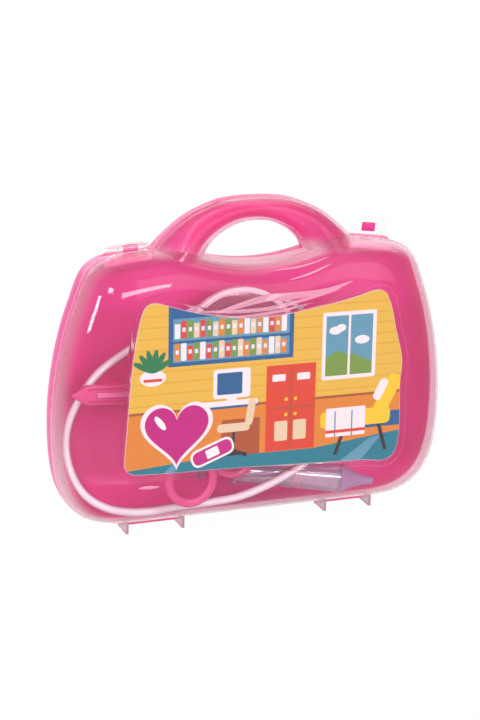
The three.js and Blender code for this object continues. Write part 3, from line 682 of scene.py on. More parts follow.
def turned(profile: Sequence[tuple[float, float]], sides: int = 64, round_over: float = 0.0) -> Surface:
    """Turns a profile of radius and place along y about the y axis.

    Args:
        profile: Pairs of radius and place, closed by its own axis or by its first point.
        sides: Places round the axis.
        round_over: Radius that softens each corner of the profile.

    Returns:
        The closed surface.
    """
    line = np.array(profile, dtype=float)
    if round_over > 0:
        curves = bent(line[:-2], line[1:-1], line[2:], round_over, 0.45, 3)
        line = np.concatenate([line[:1], curves, line[-1:]])
    angle = np.linspace(0, FULL_TURN, sides, endpoint=False)
    radius = np.maximum(line[:, 0], 1e-4)[:, None]
    along = np.broadcast_to(line[:, 1][:, None], (len(line), sides))
    grid = np.stack([radius * np.cos(angle), along, radius * np.sin(angle)], axis=-1)
    hollow = bool(np.allclose(line[0], line[-1]))
    return skinned(grid[:-1] if hollow else grid, closed=hollow)


def bent(
    before: np.ndarray,
    corner: np.ndarray,
    after: np.ndarray,
    reach: float | np.ndarray,
    limit: float,
    steps: int,
) -> np.ndarray:
    """Replaces corners by quadratic curves.

    Args:
        before: The point before each corner.
        corner: The corners.
        after: The point after each corner.
        reach: How far from its corner each curve begins and ends.
        limit: Share of a short side that a curve takes at most.
        steps: Steps of each curve.

    Returns:
        The points of all curves, in order.
    """
    back, ahead = before - corner, after - corner
    back_length, ahead_length = (np.linalg.norm(side, axis=1, keepdims=True) for side in (back, ahead))
    start = corner + back / back_length * np.minimum(reach, back_length * limit)
    end = corner + ahead / ahead_length * np.minimum(reach, ahead_length * limit)
    t = np.linspace(0, 1, steps + 1)[None, :, None]
    curve = (1 - t) ** 2 * start[:, None] + 2 * t * (1 - t) * corner[:, None] + t**2 * end[:, None]
    return curve.reshape(-1, 2)


def rounded(corners: np.ndarray, radius: float | Sequence[float]) -> np.ndarray:
    """Rounds each corner of a closed anticlockwise outline, from one radius or one for each."""
    reach = np.broadcast_to(np.asarray(radius, dtype=float), (len(corners),))[:, None]
    return bent(np.roll(corners, 1, axis=0), corners, np.roll(corners, -1, axis=0), reach, 0.48, 5)


def route(places: Sequence[Sequence[float]], steps: int = 10) -> np.ndarray:
    """Draws the smooth curve through a list of places, with knots set by the root of their spacing.

    Each stretch is the cubic whose slopes at its ends follow the places before and after it.

    Args:
        places: Places to pass through.
        steps: Points for each stretch.

    Returns:
        Points along the curve.
    """
    fixed = np.array(places, dtype=float)
    padded = np.concatenate([[2 * fixed[0] - fixed[1]], fixed, [2 * fixed[-1] - fixed[-2]]])
    p0, p1, p2, p3 = padded[:-3], padded[1:-2], padded[2:-1], padded[3:]
    d0, d1, d2 = (np.sqrt(np.linalg.norm(b - a, axis=1))[:, None] for a, b in ((p0, p1), (p1, p2), (p2, p3)))
    start = ((p1 - p0) / d0 - (p2 - p0) / (d0 + d1) + (p2 - p1) / d1) * d1
    end = ((p2 - p1) / d1 - (p3 - p1) / (d1 + d2) + (p3 - p2) / d2) * d1
    t = np.linspace(0, 1, steps, endpoint=False)[None, :, None]
    a, b, m, n = p1[:, None], p2[:, None], start[:, None], end[:, None]
    from_start = (2 * t**3 - 3 * t**2 + 1) * a + (t**3 - 2 * t**2 + t) * m
    curve = from_start + (3 * t**2 - 2 * t**3) * b + (t**3 - t**2) * n
    return np.concatenate([curve.reshape(-1, 3), fixed[-1:]])


def flat_route(places: np.ndarray, steps: int) -> np.ndarray:
    """Draws the same curve through places of width and height."""
    return route(np.insert(places, 1, 0, axis=1), steps)[:, ::2]


def piped(line: Any, radius: np.ndarray | float, sides: int = 20, flat: float = 1.0) -> Surface:
    """Carries a round section along a line of points.

    The section's first axis is the depth axis with its part along the line taken out, and its second
    axis is square to both.

    Args:
        line: Points of the middle line.
        radius: One radius, or one for each point.
        sides: Places round the section.
        flat: Share of the radius that the section keeps in depth.

    Returns:
        The closed surface.
    """
    line = np.array(line, dtype=float)
    tangent = np.gradient(line, axis=0)
    tangent /= np.linalg.norm(tangent, axis=1, keepdims=True)
    depth = np.array([0.0, 1.0, 0.0])[None, :] - tangent * tangent[:, 1:2]
    depth /= np.linalg.norm(depth, axis=1, keepdims=True)
    across = np.cross(tangent, depth)
    angle = np.linspace(0, FULL_TURN, sides, endpoint=False)[None, :, None]
    size = np.broadcast_to(np.asarray(radius, dtype=float), (len(line),))[:, None, None]
    grid = line[:, None] + size * (np.cos(angle) * flat * depth[:, None] + np.sin(angle) * across[:, None])
    return skinned(grid)


def rod(reach: float, radius: float, sides: int, y: float = 0.0, z: float = 0.0) -> Surface:
    """Makes a rod along the width, as far to the left as to the right."""
    return piped([[-reach, y, z], [reach, y, z]], radius, sides)


def framed(left: float, bottom: float, right: float, top: float, radius: float) -> np.ndarray:
    """Draws a box between its sides, with rounded corners where a radius is given."""
    corners = np.array([[left, bottom], [right, bottom], [right, top], [left, top]], dtype=float)
    return rounded(corners, radius) if radius > 0 else corners


def upright(x: float, z: float, width: float, height: float, radius: float = 0.4) -> np.ndarray:
    """Draws a box from its lower left corner."""
    return framed(x, z, x + width, z + height, radius)


def block(low: Place, high: Place, bevel: float = 0.0) -> Surface:
    """Makes a box between two corners, with rounded edges where a bevel is given."""
    return slab(framed(low[0], low[2], high[0], high[2], bevel), low[1], high[1], bevel)


def strip(left: float, right: float, z: float, height: float) -> np.ndarray:
    """Draws a level strip between two places."""
    return upright(left, z, right - left, height, 0.1)


def panel_of(*corners: tuple[float, float]) -> np.ndarray:
    """Draws a shape through corners given anticlockwise."""
    return rounded(np.array(corners, dtype=float), 0.5)


def disc(x: float, z: float, radius: float, height: float | None = None, sides: int = 48) -> np.ndarray:
    """Draws a circle, or an oval where a height is given.

    Args:
        x: Place of its middle along the width.
        z: Height of its middle.
        radius: Its radius, or half its width.
        height: Half its height, where that differs.
        sides: Places round it.

    Returns:
        The outline, anticlockwise.
    """
    angle = np.linspace(0, FULL_TURN, sides, endpoint=False)
    tall = radius if height is None else height
    return np.stack([x + radius * np.cos(angle), z + tall * np.sin(angle)], axis=1)


def tilted(outline: np.ndarray, degrees: float, x: float, z: float) -> np.ndarray:
    """Turns an outline about its zero, which it then puts at a place.

    Args:
        outline: The outline of width and height.
        degrees: Anticlockwise turn.
        x: Place along the width.
        z: Height.

    Returns:
        The turned outline.
    """
    turn = math.radians(degrees)
    spin = np.array([[math.cos(turn), math.sin(turn)], [-math.sin(turn), math.cos(turn)]])
    return outline @ spin + np.array([x, z])


def aimed(place: Sequence[float], along: Vector) -> Matrix:
    """Gives the matrix that puts zero at a place and the y axis along a direction."""
    return Matrix.Translation(place) @ Vector((0, 1, 0)).rotation_difference(along).to_matrix().to_4x4()


def swung(place: Sequence[float], degrees: float) -> Matrix:
    """Gives the matrix that puts zero at a place and turns about the depth axis."""
    return Matrix.Translation(place) @ Matrix.Rotation(math.radians(degrees), 4, "Y")


class Cut(Enum):
    """How one solid meets another."""

    JOIN = "UNION"
    TAKE = "DIFFERENCE"
    KEEP = "INTERSECT"

    def each(self, *solids: Surface) -> list[tuple["Cut", Surface]]:
        """Pairs this cut with each of several solids."""
        return [(self, solid) for solid in solids]


def carved(name: str, first: Surface, steps: Sequence[tuple[Cut, Surface]]) -> bpy.types.Object:
    """Joins solids to a first one and cuts others from it.

    Args:
        name: The new object's name.
        first: The first solid.
        steps: Each cut with its solid, in order.

    Returns:
        An object that holds the result.
    """
    made = placed(name, first.mesh(name))
    helpers = []
    for number, (cut, solid) in enumerate(steps):
        helpers.append(placed(f"{name}_cut_{number}", solid.mesh(f"{name}_cut_{number}")))
        modifier = made.modifiers.new(f"cut_{number}", "BOOLEAN")
        modifier.operation = cut.value
        modifier.solver = "MANIFOLD"
        modifier.object = helpers[-1]
    bpy.context.view_layer.update()
    mesh = bpy.data.meshes.new_from_object(made.evaluated_get(bpy.context.evaluated_depsgraph_get()))
    made.modifiers.clear()
    made.data = mesh
    mesh.name = name
    for helper in helpers:
        discard(helper)
    return made


@dataclass
class CaseForm:
    """The form that both shells share: the rim, the panels and the handle."""

    width: float = 266.4
    height: float = 174.8
    floor: float = 6.7
    front_depth: float = 26.5
    back_depth: float = 28.5
    front_band: float = 5.3
    back_band: float = 3.0
    wall: float = 2.0
    parting: float = 0.15
    corner_steps: int = 14
    front_panel: Place = (0.786, 0.712, 0.509)
    back_panel: Place = (0.85, 0.777, 0.503)
    start: tuple[float, float] = (0.633, 0.0)
    rows: tuple = (
        ((0.966, 0), (1, 0.163), (1, 0.378)),
        ((1, 0.525), (0.957, 0.692), (0.897, 0.811)),
        ((0.853, 0.898), (0.85, 0.956), (0.71, 0.98)),
        ((0.632, 0.994), (0.55, 1), (0.473, 1)),
        ((0.366, 1), (0.23, 0.94), (0, 0.94)),
    )
    frame_steps: tuple[int, ...] = (9, 5, 7, 3, 6)
    row_steps: tuple[int, ...] = (22, 14, 18, 8, 14)
    floor_steps: int = 10
    handle_outer: tuple = (
        (0, 1.1687), (0.0983, 1.1657), (0.18, 1.1568), (0.2754, 1.1309), (0.3413, 1.107),
        (0.3983, 1.0771), (0.4504, 1.0433), (0.4996, 1.0065), (0.5409, 0.9517),
    )
    handle_inner: tuple = (
        (0, 1.0771), (0.0561, 1.0742), (0.1092, 1.0632), (0.1613, 1.0443), (0.2026, 1.0224),
        (0.2331, 0.9995), (0.2518, 0.9766), (0.2705, 0.9428), (0.2891, 0.9049),
    )
    handle_depth: float = 14.0
    handle_leg_depth: float = 20.0
    handle_steps: int = 3
    handle_sides: int = 17
    panel_inset: float = 0.6
    ledge_lead: float = 0.5
    ledge_run: float = 0.1
    ledge_round: float = 0.3

    def on_case(self, shares: Any) -> np.ndarray:
        """Turns shares of half the width and of the height into places."""
        shares = np.asarray(shares, dtype=float)
        return shares * np.array([self.width / 2, self.height]) + np.array([0, self.floor])

    def rim(self, row_steps: tuple[int, ...] | None = None) -> np.ndarray:
        """Works out the rim, anticlockwise from the middle of the bottom.

        Each row is a cubic curve of its two handles and its ends; the left half mirrors the right one.

        Args:
            row_steps: Points on each row, or None for the fine ones.

        Returns:
            The outline of width and height.
        """
        share = np.linspace(0, 1, self.floor_steps, endpoint=False)[:, None]
        parts = [self.on_case(np.array([self.start]) * share)]
        begin = self.on_case(self.start)
        for row, count in zip(self.rows, row_steps or self.row_steps):
            first, second, end = self.on_case(row)
            t = np.linspace(0, 1, count, endpoint=False)[:, None]
            near = (1 - t) ** 3 * begin + 3 * t * (1 - t) ** 2 * first
            parts.append(near + 3 * t**2 * (1 - t) * second + t**3 * end)
            begin = end
        right = np.concatenate(parts + [begin[None]])
        left = right[1:-1][::-1] * np.array([-1, 1])
        return np.concatenate([right, left])

    def panel(self, rim: np.ndarray, shares: Place) -> np.ndarray:
        """Draws a panel's outline: the rim drawn in towards a height on the case.

        Args:
            rim: The rim.
            shares: Shares of the width and the height that stay, and the share of the height drawn to.

        Returns:
            The panel's outline.
        """
        width, height, centre = shares
        middle = self.floor + centre * self.height
        return np.stack([rim[:, 0] * width, middle + (rim[:, 1] - middle) * height], axis=1)

    def bowl(self, side: int, start: float, inset: float = 0.0, ledge: float = 0.0) -> Surface:
        """Works out one side of a shell: a straight band, a round corner and a flat panel.

        At a corner angle the outline has gone from the rim to the panel by one less the cosine, and in
        depth from the band to the panel by the sine.

        Args:
            side: -1 for the front, 1 for the back.
            start: Depth of its open edge.
            inset: How far it lies inside the outer surface.
            ledge: How far the wall steps in behind the band.

        Returns:
            The closed solid.
        """
        shares, band, depth = self.back_panel, self.back_band, self.back_depth
        if side < 0:
            shares, band, depth = self.front_panel, self.front_band, self.front_depth
        outer = self.rim()
        rim = shifted(outer, -inset)
        panel = shifted(self.panel(outer, shares), -inset * self.panel_inset)
        depth -= inset
        rings = [standing(rim, side * start)]
        if ledge > 0:
            rings.append(standing(rim, side * (band - self.ledge_lead)))
            inner = shifted(rim, -ledge * self.ledge_round)
            rings.append(standing(inner, side * (band - self.ledge_run)))
            rim = shifted(rim, -ledge)
        angle = np.linspace(0, QUARTER_TURN, self.corner_steps)
        for inward, y in zip(1 - np.cos(angle), side * (band + (depth - band) * np.sin(angle))):
            rings.append(standing(rim + (panel - rim) * inward, y))
        return skinned(np.stack(rings))

    def handle(self, side: int, start: float, inset: float = 0.0) -> Surface:
        """Works out half of the handle: half-round sections from one leg over the top to the other.

        Each section is half an oval between the outer and the inner line of the handle, and its depth
        grows with the square of the way from the top to the leg.

        Args:
            side: -1 for the front, 1 for the back.
            start: Depth of its open edge.
            inset: How far it lies inside the outer surface.

        Returns:
            The closed solid.
        """
        halves = [self.on_case(shares) for shares in (self.handle_outer, self.handle_inner)]
        mirrored = [np.concatenate([half[::-1], half[1:] * np.array([-1, 1])]) for half in halves]
        outer, inner = (flat_route(line, self.handle_steps) for line in mirrored)
        way = np.abs(np.linspace(-1, 1, len(outer)))
        depth = self.handle_depth + (self.handle_leg_depth - self.handle_depth) * way**2
        middle = (outer + inner) / 2
        across = (outer - inner) / 2
        length = np.linalg.norm(across, axis=1, keepdims=True)
        across = across / length * (length - inset)
        angle = np.linspace(0, math.pi, self.handle_sides)[None, :]
        flat = middle[:, None] + across[:, None] * np.cos(angle)[..., None]
        base = abs(start)
        y = side * (base + (depth[:, None] - inset - base) * np.sin(angle))
        y[:, [0, -1]] = side * start
        return skinned(np.stack([flat[..., 0], y, flat[..., 1]], axis=-1))

    def shell(self, side: int, ledge: float = 0.0) -> tuple[Surface, list[tuple[Cut, Surface]]]:
        """Gives a side's outer solid, and the steps that add its handle and hollow both out.

        Args:
            side: -1 for the front, 1 for the back.
            ledge: How far the wall steps in behind the band.

        Returns:
            The solid and the steps.
        """
        hollows = [form(side, PAST_PARTING, self.wall) for form in (self.bowl, self.handle)]
        steps = Cut.JOIN.each(self.handle(side, self.parting)) + Cut.TAKE.each(*hollows)
        return self.bowl(side, self.parting, ledge=ledge), steps

    def shoulder(self, across: float) -> tuple[float, float]:
        """Finds the height and the slope of the rim's top at a distance from the middle.

        The frame's own steps are used, so that the latches sit where its joints are.

        Args:
            across: Distance from the middle.

        Returns:
            The height in millimetres and the slope in radians.
        """
        rim = self.rim(self.frame_steps)
        top = rim[(rim[:, 0] > 0) & (rim[:, 1] > self.floor + self.height / 2)]
        x, z = top[::-1, 0], top[::-1, 1]
        ahead = int(np.searchsorted(x, across))
        height = float(np.interp(across, x, z))
        return height, math.atan2(float(z[ahead - 1] - z[ahead]), float(x[ahead] - x[ahead - 1]))


@dataclass
class Card:
    """The picture card behind the window, and the window's own outline."""

    form: CaseForm
    thickness: float = 0.5
    gap: float = 0.3
    ink: float = 0.01
    ink_root: float = 0.1
    bare_edge: float = 0.15
    window_rise: float = 1.8
    shares: tuple = (
        (-0.7051, 0.2768), (-0.699, 0.237), (-0.6724, 0.2181), (-0.6203, 0.2131), (-0.4632, 0.2081),
        (-0.2705, 0.2051), (-0.0787, 0.2002), (0.1829, 0.1922), (0.3934, 0.1852), (0.5409, 0.1803),
        (0.6314, 0.1723), (0.6786, 0.1872), (0.7052, 0.2251), (0.715, 0.3057), (0.7101, 0.4679),
        (0.716, 0.5555), (0.6796, 0.664), (0.6432, 0.7705), (0.6107, 0.8134), (0.5685, 0.8223),
        (0.474, 0.8054), (0.3786, 0.7895), (0.2646, 0.7755), (0.0974, 0.7566), (-0.0679, 0.7516),
        (-0.2321, 0.7646), (-0.3934, 0.7915), (-0.4917, 0.8143), (-0.5576, 0.8283), (-0.5919, 0.8243),
        (-0.6165, 0.8034), (-0.6564, 0.673), (-0.6862, 0.45),
    )
    outline_steps: int = 5

    def outline(self) -> np.ndarray:
        """Draws the card's outline through its corner points, as one closed curve.

        Returns:
            The outline, anticlockwise.
        """
        fixed = self.form.on_case(self.shares)
        before, after = 2, 3
        line = flat_route(np.concatenate([fixed[-before:], fixed, fixed[:after]]), self.outline_steps)
        return line[before * self.outline_steps : -after * self.outline_steps]

    def build(self, shop: Workshop) -> None:
        """Makes the card and its print.

        Args:
            shop: The workshop that dresses the pieces.
        """
        outline = self.outline()
        face = self.form.front_depth + self.window_rise - self.form.wall - self.gap
        plate = slab(outline, -face, -(face - self.thickness))
        shop.piece("picture_card_board", plate, "ink_white", "picture_card", Body.LID)
        keep = slab(shifted(outline, -self.bare_edge), -(face + 1), -(face - 1))
        for layer, (name, ink, shapes) in enumerate(self.print_layers()):
            near, far = -(face + self.ink * (layer + 1)), -(face - self.ink_root)
            first, *others = (slab(shape, near, far) for shape in shapes)
            made = carved(f"card_print_{name}", first, Cut.JOIN.each(*others) + Cut.KEEP.each(keep))
            shop.dress(made, f"ink_{ink}", body=Body.LID)

    def boxes(self, number: int, places: Sequence[tuple], steps: np.ndarray) -> list[np.ndarray]:
        """Draws those boxes of the rack that have one colour.

        Args:
            number: The number of the colour.
            places: Lower left corner of each shelf.
            steps: Distances of the boxes along a shelf.

        Returns:
            Their outlines.
        """
        return [
            upright(x + at, z, 3.6, 11.0 if (k + row) % 3 else 9.2)
            for row, (x, z) in enumerate(places)
            for k, at in enumerate(steps)
            if (k * 3 + row * 2 + k // 4) % 5 == number
        ]

    def print_layers(self) -> list[tuple[str, str, list[np.ndarray]]]:
        """Lists the card's printed shapes from the bottom ink to the top one.

        The picture is an empty treatment room: a wall, a floor, a rack of boxes, a window, a red
        cupboard, a screen, a chair, a couch, a plant and a large heart with a plaster.

        Returns:
            For each layer its name, its ink and its outlines.
        """
        heart, heart_place = self.heart(), np.array([-60, 70])
        plaster = (20, -36, 54)
        couch_back = (62, 83, 66)
        shelves = ((-62.0, 128.5), (-62.0, 114.5))
        steps = np.arange(0, 74, 4.2)
        white, green, orange, red, cream = (self.boxes(number, shelves, steps) for number in range(5))
        labels = [upright(x + at + 0.8, z + 4.2, 2.0, 2.6, 0.2) for x, z in shelves for at in steps]
        floor = panel_of((-100, 30), (100, 30), (100, 57), (34, 50), (-40, 50.5), (-100, 46.5))
        right_light = panel_of((38, 30), (60, 30), (82, 54), (74, 53))
        left_light = panel_of((-84, 30), (-70, 30), (-58, 49), (-62, 49))
        left_hill = panel_of((40.5, 96.5), (56.1, 96.5), (56.1, 110), (48, 113), (40.5, 108))
        right_hill = panel_of((57.8, 96.5), (73.4, 96.5), (73.4, 104), (57.8, 111))
        clouds = [disc(47, 126, 4.4, 2.6), disc(51, 127.6, 3.4, 2.4), disc(66, 119, 5.2, 2.8)]
        flower_pot = disc(-76, 105, 8.5, 5.2)
        chair_foot = panel_of((-30, 50.5), (-14, 50.5), (-14, 52), (-21.8, 54.4), (-30, 52))
        chair_back = tilted(upright(0, 0, 5.2, 17, 2.4), -9, -14.5, 70)
        doors = [upright(6, 57, 9, 13, 1.2), upright(19, 57, 9, 13, 1.2)]
        left_leg = panel_of((48, 44), (50.5, 44), (58, 66), (55.5, 66))
        right_leg = panel_of((84, 44), (86.5, 44), (80, 66), (77.5, 66))
        desk = [upright(-48, 83, 42, 3.5, 0.5), upright(-36, 88, 25, 19, 2.5), upright(-27, 86, 7, 4)]
        castors = [disc(-30, 50.6, 1.5), disc(-14, 50.6, 1.5)]
        couch = [upright(38, 62, 50, 11, 4), tilted(upright(-5, 0, 34, 10, 4.5), *couch_back)]
        sheet = [upright(42, 56, 28, 19, 0.5), tilted(upright(8, 8, 15, 6, 2.8), *couch_back)]
        leaves = [tilted(disc(0, 6.5, 1.9, 7.5), turn, -76, 109) for turn in (-62, -34, -10, 14, 38, 64)]
        return [
            ("wall", "ochre", [upright(-110, 25, 220, 140)]),
            ("planks", "amber", [strip(-100, 100, z, 0.7) for z in np.arange(66, 150, 7.0)]),
            ("boards", "orange", [upright(-100, 46, 200, 36)]),
            ("rail", "brown", [strip(-100, 100, 82, 1.6), upright(-30, 50, 26, 24, 0.5)]),
            ("floor", "teal", [floor]),
            ("floor_light", "sky", [right_light, left_light]),
            ("rack", "blue", [upright(-66, 111, 84, 50), upright(70, 60, 40, 10)]),
            ("rack_back", "sky", [upright(-63, 127, 78, 14), upright(-63, 113.5, 78, 11.6)]),
            ("boxes_white", "white", white + [upright(38, 94, 38, 44, 1.5)]),
            ("boxes_green", "green", green),
            ("boxes_orange", "orange", orange),
            ("boxes_red", "red", red + [upright(0, 50.5, 34, 56)]),
            ("boxes_cream", "cream", cream),
            ("labels", "white", labels + [upright(21, 96, 9, 4.5, 0.8), upright(4, 96, 9, 4.5, 0.8)]),
            ("panes", "sky", [upright(40.5, 96.5, 15.6, 39, 0.6), upright(57.8, 96.5, 15.6, 39, 0.6)]),
            ("hills", "green", [left_hill, right_hill]),
            ("clouds", "white", clouds + [flower_pot]),
            ("cupboard_lines", "brown", [upright(16.6, 52, 0.9, 53), strip(2, 32, 78, 0.8)]),
            ("desk", "white", desk),
            ("screen", "blue", [upright(-33.5, 90.5, 17, 14, 1), strip(-48, -6, 81.6, 1.5)]),
            ("stool_post", "black", [upright(-22.6, 52, 1.6, 16), chair_foot, *castors]),
            ("stool_seat", "cream", [upright(-33, 66, 22, 5.5, 2.6), chair_back, *doors]),
            ("couch_legs", "black", [left_leg, right_leg]),
            ("couch", "yellow", couch),
            ("sheet", "white", sheet),
            ("sheet_fold", "sky", [upright(48, 56, 1, 17, 0.5), upright(60, 56, 1, 17, 0.5)]),
            ("sheet_band", "red", [upright(42, 58.5, 28, 2, 0.5), strip(-82, -70, 102.6, 1.8)]),
            ("leaves", "leaf", leaves),
            ("heart_edge", "white", [heart * 1.5 + heart_place]),
            ("heart", "magenta", [heart * 1.32 + heart_place]),
            ("heart_gleam", "white", [tilted(disc(0, 0, 2.0, 5.6), 38, -71, 76)]),
            ("plaster_edge", "white", [tilted(upright(-15, -5.8, 30, 11.6, 5.7), *plaster)]),
            ("plaster", "magenta", [tilted(upright(-13.6, -4.4, 27.2, 8.8, 4.3), *plaster)]),
            ("plaster_pad", "white", [tilted(upright(-4.4, -2.9, 8.8, 5.8, 0.8), *plaster)]),
            ("knobs", "yellow", [disc(x, z, 1.1) for x in (13.8, 20.2) for z in (74, 84)]),
        ]

    def heart(self) -> np.ndarray:
        """Draws a heart about 32 mm wide.

        Its width goes as the cube of the sine of the turn, and its height as a sum of four cosines.

        Returns:
            Its outline, anticlockwise.
        """
        t = np.linspace(0, FULL_TURN, 72, endpoint=False)
        across = 16 * np.sin(t) ** 3
        up = 13 * np.cos(t) - 5 * np.cos(2 * t) - 2 * np.cos(3 * t) - np.cos(4 * t)
        return np.stack([across, up], axis=1)[::-1]


@dataclass
class Hinge:
    """The ears, barrels and feet along the bottom."""

    form: CaseForm
    y: float = 5.0
    z: float = 3.75
    pin: float = 1.1
    bore: float = 1.4
    barrel: float = 2.4
    eye: float = 2.65
    ear: float = 1.8
    gap: float = 0.3
    pin_reach: float = 0.9
    places: tuple[float, ...] = (-85.8, -48.1, 51.8, 84.6)
    ear_front: float = 9.0
    ear_heel: float = 0.9
    web_rise: float = 1.0
    foot_place: float = 66.0
    foot_half_width: float = 9.0
    foot_depths: tuple[float, float] = (13, 17)
    foot_rise: float = 4.0
    foot_bevel: float = 0.8

    def ears(self) -> list[Surface]:
        """Works out the four ear plates: a straight front, a slanting foot and a round eye.

        The plate is drawn across the width and then turned to lie along the depth. That mirrors it, so
        its faces are turned round too.

        Returns:
            One surface for each ear.
        """
        turn = np.linspace(-QUARTER_TURN, QUARTER_TURN, 13)
        eye = np.stack([self.y + self.eye * np.cos(turn), self.z + self.eye * np.sin(turn)], axis=1)
        top = self.form.floor + self.form.wall / 2
        foot = [[-self.ear_front, 0.0], [self.y - self.barrel * 2, self.ear_heel]]
        neck = [[-self.form.parting, self.z + self.eye], [-self.form.parting, top], [-self.ear_front, top]]
        plate = slab(np.concatenate([foot, eye, neck]), -self.ear / 2, self.ear / 2)
        faces = [face[::-1] for face in plate.faces]
        return [Surface(plate.points[:, [1, 0, 2]] + np.array([place, 0, 0]), faces) for place in self.places]

    def between(self, left: float, right: float, radius: float, sides: int) -> Surface:
        """Works out a rod on the hinge's axis between two places."""
        return piped([[left, self.y, self.z], [right, self.y, self.z]], radius, sides)

    def bores(self) -> Surface:
        """Works out the rod that bores all ears."""
        return self.between(self.places[0] - self.ear * 2, self.places[-1] + self.ear * 2, self.bore, 24)

    def barrels(self) -> list[Surface]:
        """Works out the barrels between each pair of ears, with their webs and pins.

        Returns:
            For each pair a barrel, a pin and a web.
        """
        made = []
        reach = self.ear + self.pin_reach
        for left, right in zip(self.places[::2], self.places[1::2]):
            low, high = left + self.ear / 2 + self.gap, right - self.ear / 2 - self.gap
            web_low = (low, self.y - self.barrel, self.z)
            web_high = (high, self.y + self.barrel, self.form.floor + self.web_rise)
            made.append(self.between(low, high, self.barrel, 28))
            made.append(self.between(low - reach, high + reach, self.pin, 20))
            made.append(block(web_low, web_high))
        return made

    def feet(self) -> list[Surface]:
        """Works out the two feet behind the ears.

        Returns:
            One block for each foot.
        """
        (near, far), half, top = self.foot_depths, self.foot_half_width, self.form.floor + self.foot_rise
        places = (-self.foot_place, self.foot_place)
        return [block((x - half, near, 0), (x + half, far, top), self.foot_bevel) for x in places]


@dataclass
class Latch:
    """A flip latch on a shoulder."""

    form: CaseForm
    side: int
    turn: float
    body: Body
    name: str
    place: float = 83.5
    width: float = 25.0
    length: float = 17.5
    dome: float = 0.55
    thickness: float = 2.0
    barrel: float = 2.6
    pin: float = 1.3
    pin_bore: float = 1.6
    bead: float = 1.9
    axis_depth: float = 2.2
    axis_back: float = 3.0
    seat: float = 3.0
    hook_width: float = 9.0
    hook_height: float = 5.5
    hook_start: float = 4.8
    hook_base: float = 1.8
    slot_gap: float = 0.4
    slot_top: float = 4.0
    hole_gap: float = 0.3
    pocket_margin: float = 2.8
    pocket_floor: float = -8.4
    pocket_back: float = 11.0
    pocket_top: float = 3.0
    recess_margin: float = 0.4
    recess_floor: float = -6.4
    recess_back: float = 9.0
    recess_front: float = -3.0
    pin_margin: float = 1.8
    bore_margin: float = 2.1
    barrel_gap: float = 0.1
    web_gap: float = 0.2
    overlap: float = 1.0
    bead_inset: float = 1.0
    hole_depth: float = 1.5
    hole_top: float = 6.0
    hook_rise: float = 0.4
    edge: float = 0.5

    def frame(self) -> Matrix:
        """Works out where the latch sits.

        Returns:
            The matrix from the shoulder's own axes to the case's.
        """
        height, slope = self.form.shoulder(self.place)
        place = Matrix.Translation((self.side * self.place, 0, height))
        return place @ Matrix.Rotation(self.side * slope, 4, "Y")

    def pivot(self) -> Matrix:
        """Gives the matrix from the tab's pivot to the case's axes at rest."""
        offset = Matrix.Translation((0, self.axis_back, -self.axis_depth))
        return self.frame() @ offset @ Matrix.Rotation(math.radians(self.turn), 4, "X")

    def slot(self) -> Surface:
        """Works out the slot in the front shell that the hook drops into.

        Returns:
            The solid to take away.
        """
        reach = self.hook_width / 2 + self.slot_gap
        start = self.axis_back - self.hook_start
        end = start - self.hook_height
        foot = self.hook_base - self.axis_depth
        low = (-reach, end - self.slot_gap, foot - self.slot_gap)
        return block(low, (reach, start + self.slot_gap, self.slot_top)).under(self.frame())

    def pocket(self) -> Surface:
        """Works out the block of the back shell that carries the latch.

        Returns:
            The solid to join, where it lies inside the shell.
        """
        reach = self.width / 2 + self.pocket_margin
        low = (-reach, self.form.parting, self.pocket_floor)
        return block(low, (reach, self.pocket_back, self.pocket_top)).under(self.frame())

    def recess(self) -> list[Surface]:
        """Works out what is taken out of that block.

        Returns:
            The recess and the pin bores.
        """
        reach, back = self.width / 2 + self.recess_margin, self.recess_back
        hollow = block((-reach, self.recess_front, self.recess_floor), (reach, back, back))
        half = self.width / 2 + self.bore_margin
        bores = rod(half, self.pin_bore, 20, self.axis_back, -self.axis_depth)
        return [solid.under(self.frame()) for solid in (hollow, bores)]

    def build(self, shop: Workshop) -> None:
        """Makes the clear tab and the pink hook.

        Args:
            shop: The workshop that dresses the pieces.
        """
        half, dome = self.width / 2, self.length * self.dome
        turn = np.linspace(0, math.pi, 25)
        top = np.stack([half * np.cos(turn), self.length - dome + dome * np.sin(turn)], axis=1)
        outline = np.concatenate([[[-half, -self.barrel], [half, -self.barrel]], top])
        outer = self.seat + self.thickness
        plate = slab(outline, self.seat, outer, self.edge)
        barrel = rod(half - self.barrel_gap, self.barrel, 28)
        pins = rod(half + self.pin_margin, self.pin, 20)
        web_half, inside = half - self.web_gap, self.seat + self.overlap
        web = block((-web_half, 0.0, -self.barrel), (web_half, inside, self.barrel))
        bead = rod(half - self.bead_inset, self.bead, 20, inside, self.bead_inset)
        side, base, hook_end = self.hook_width / 2, self.hook_start, self.hook_start + self.hook_height
        hole = block(
            (-(side + self.hole_gap), self.seat - self.hole_depth, base - self.hole_gap),
            (side + self.hole_gap, self.seat + self.hole_top, hook_end + self.hole_gap),
        )
        hook = block((-side, self.hook_base, base), (side, outer + self.hook_rise, hook_end), self.edge)
        place = self.pivot()
        steps = Cut.JOIN.each(barrel, pins, web, bead) + Cut.TAKE.each(hole)
        steps = [(cut, solid.under(place)) for cut, solid in steps]
        tab = carved(f"{self.name}_tab_moulding", plate.under(place), steps)
        shop.dress(tab, "tab_clear", f"{self.name}_tab", self.body)
        row = (f"{self.name}_hook_moulding", hook, "latch_pink", f"{self.name}_hook", self.body)
        shop.pieces(place, row)


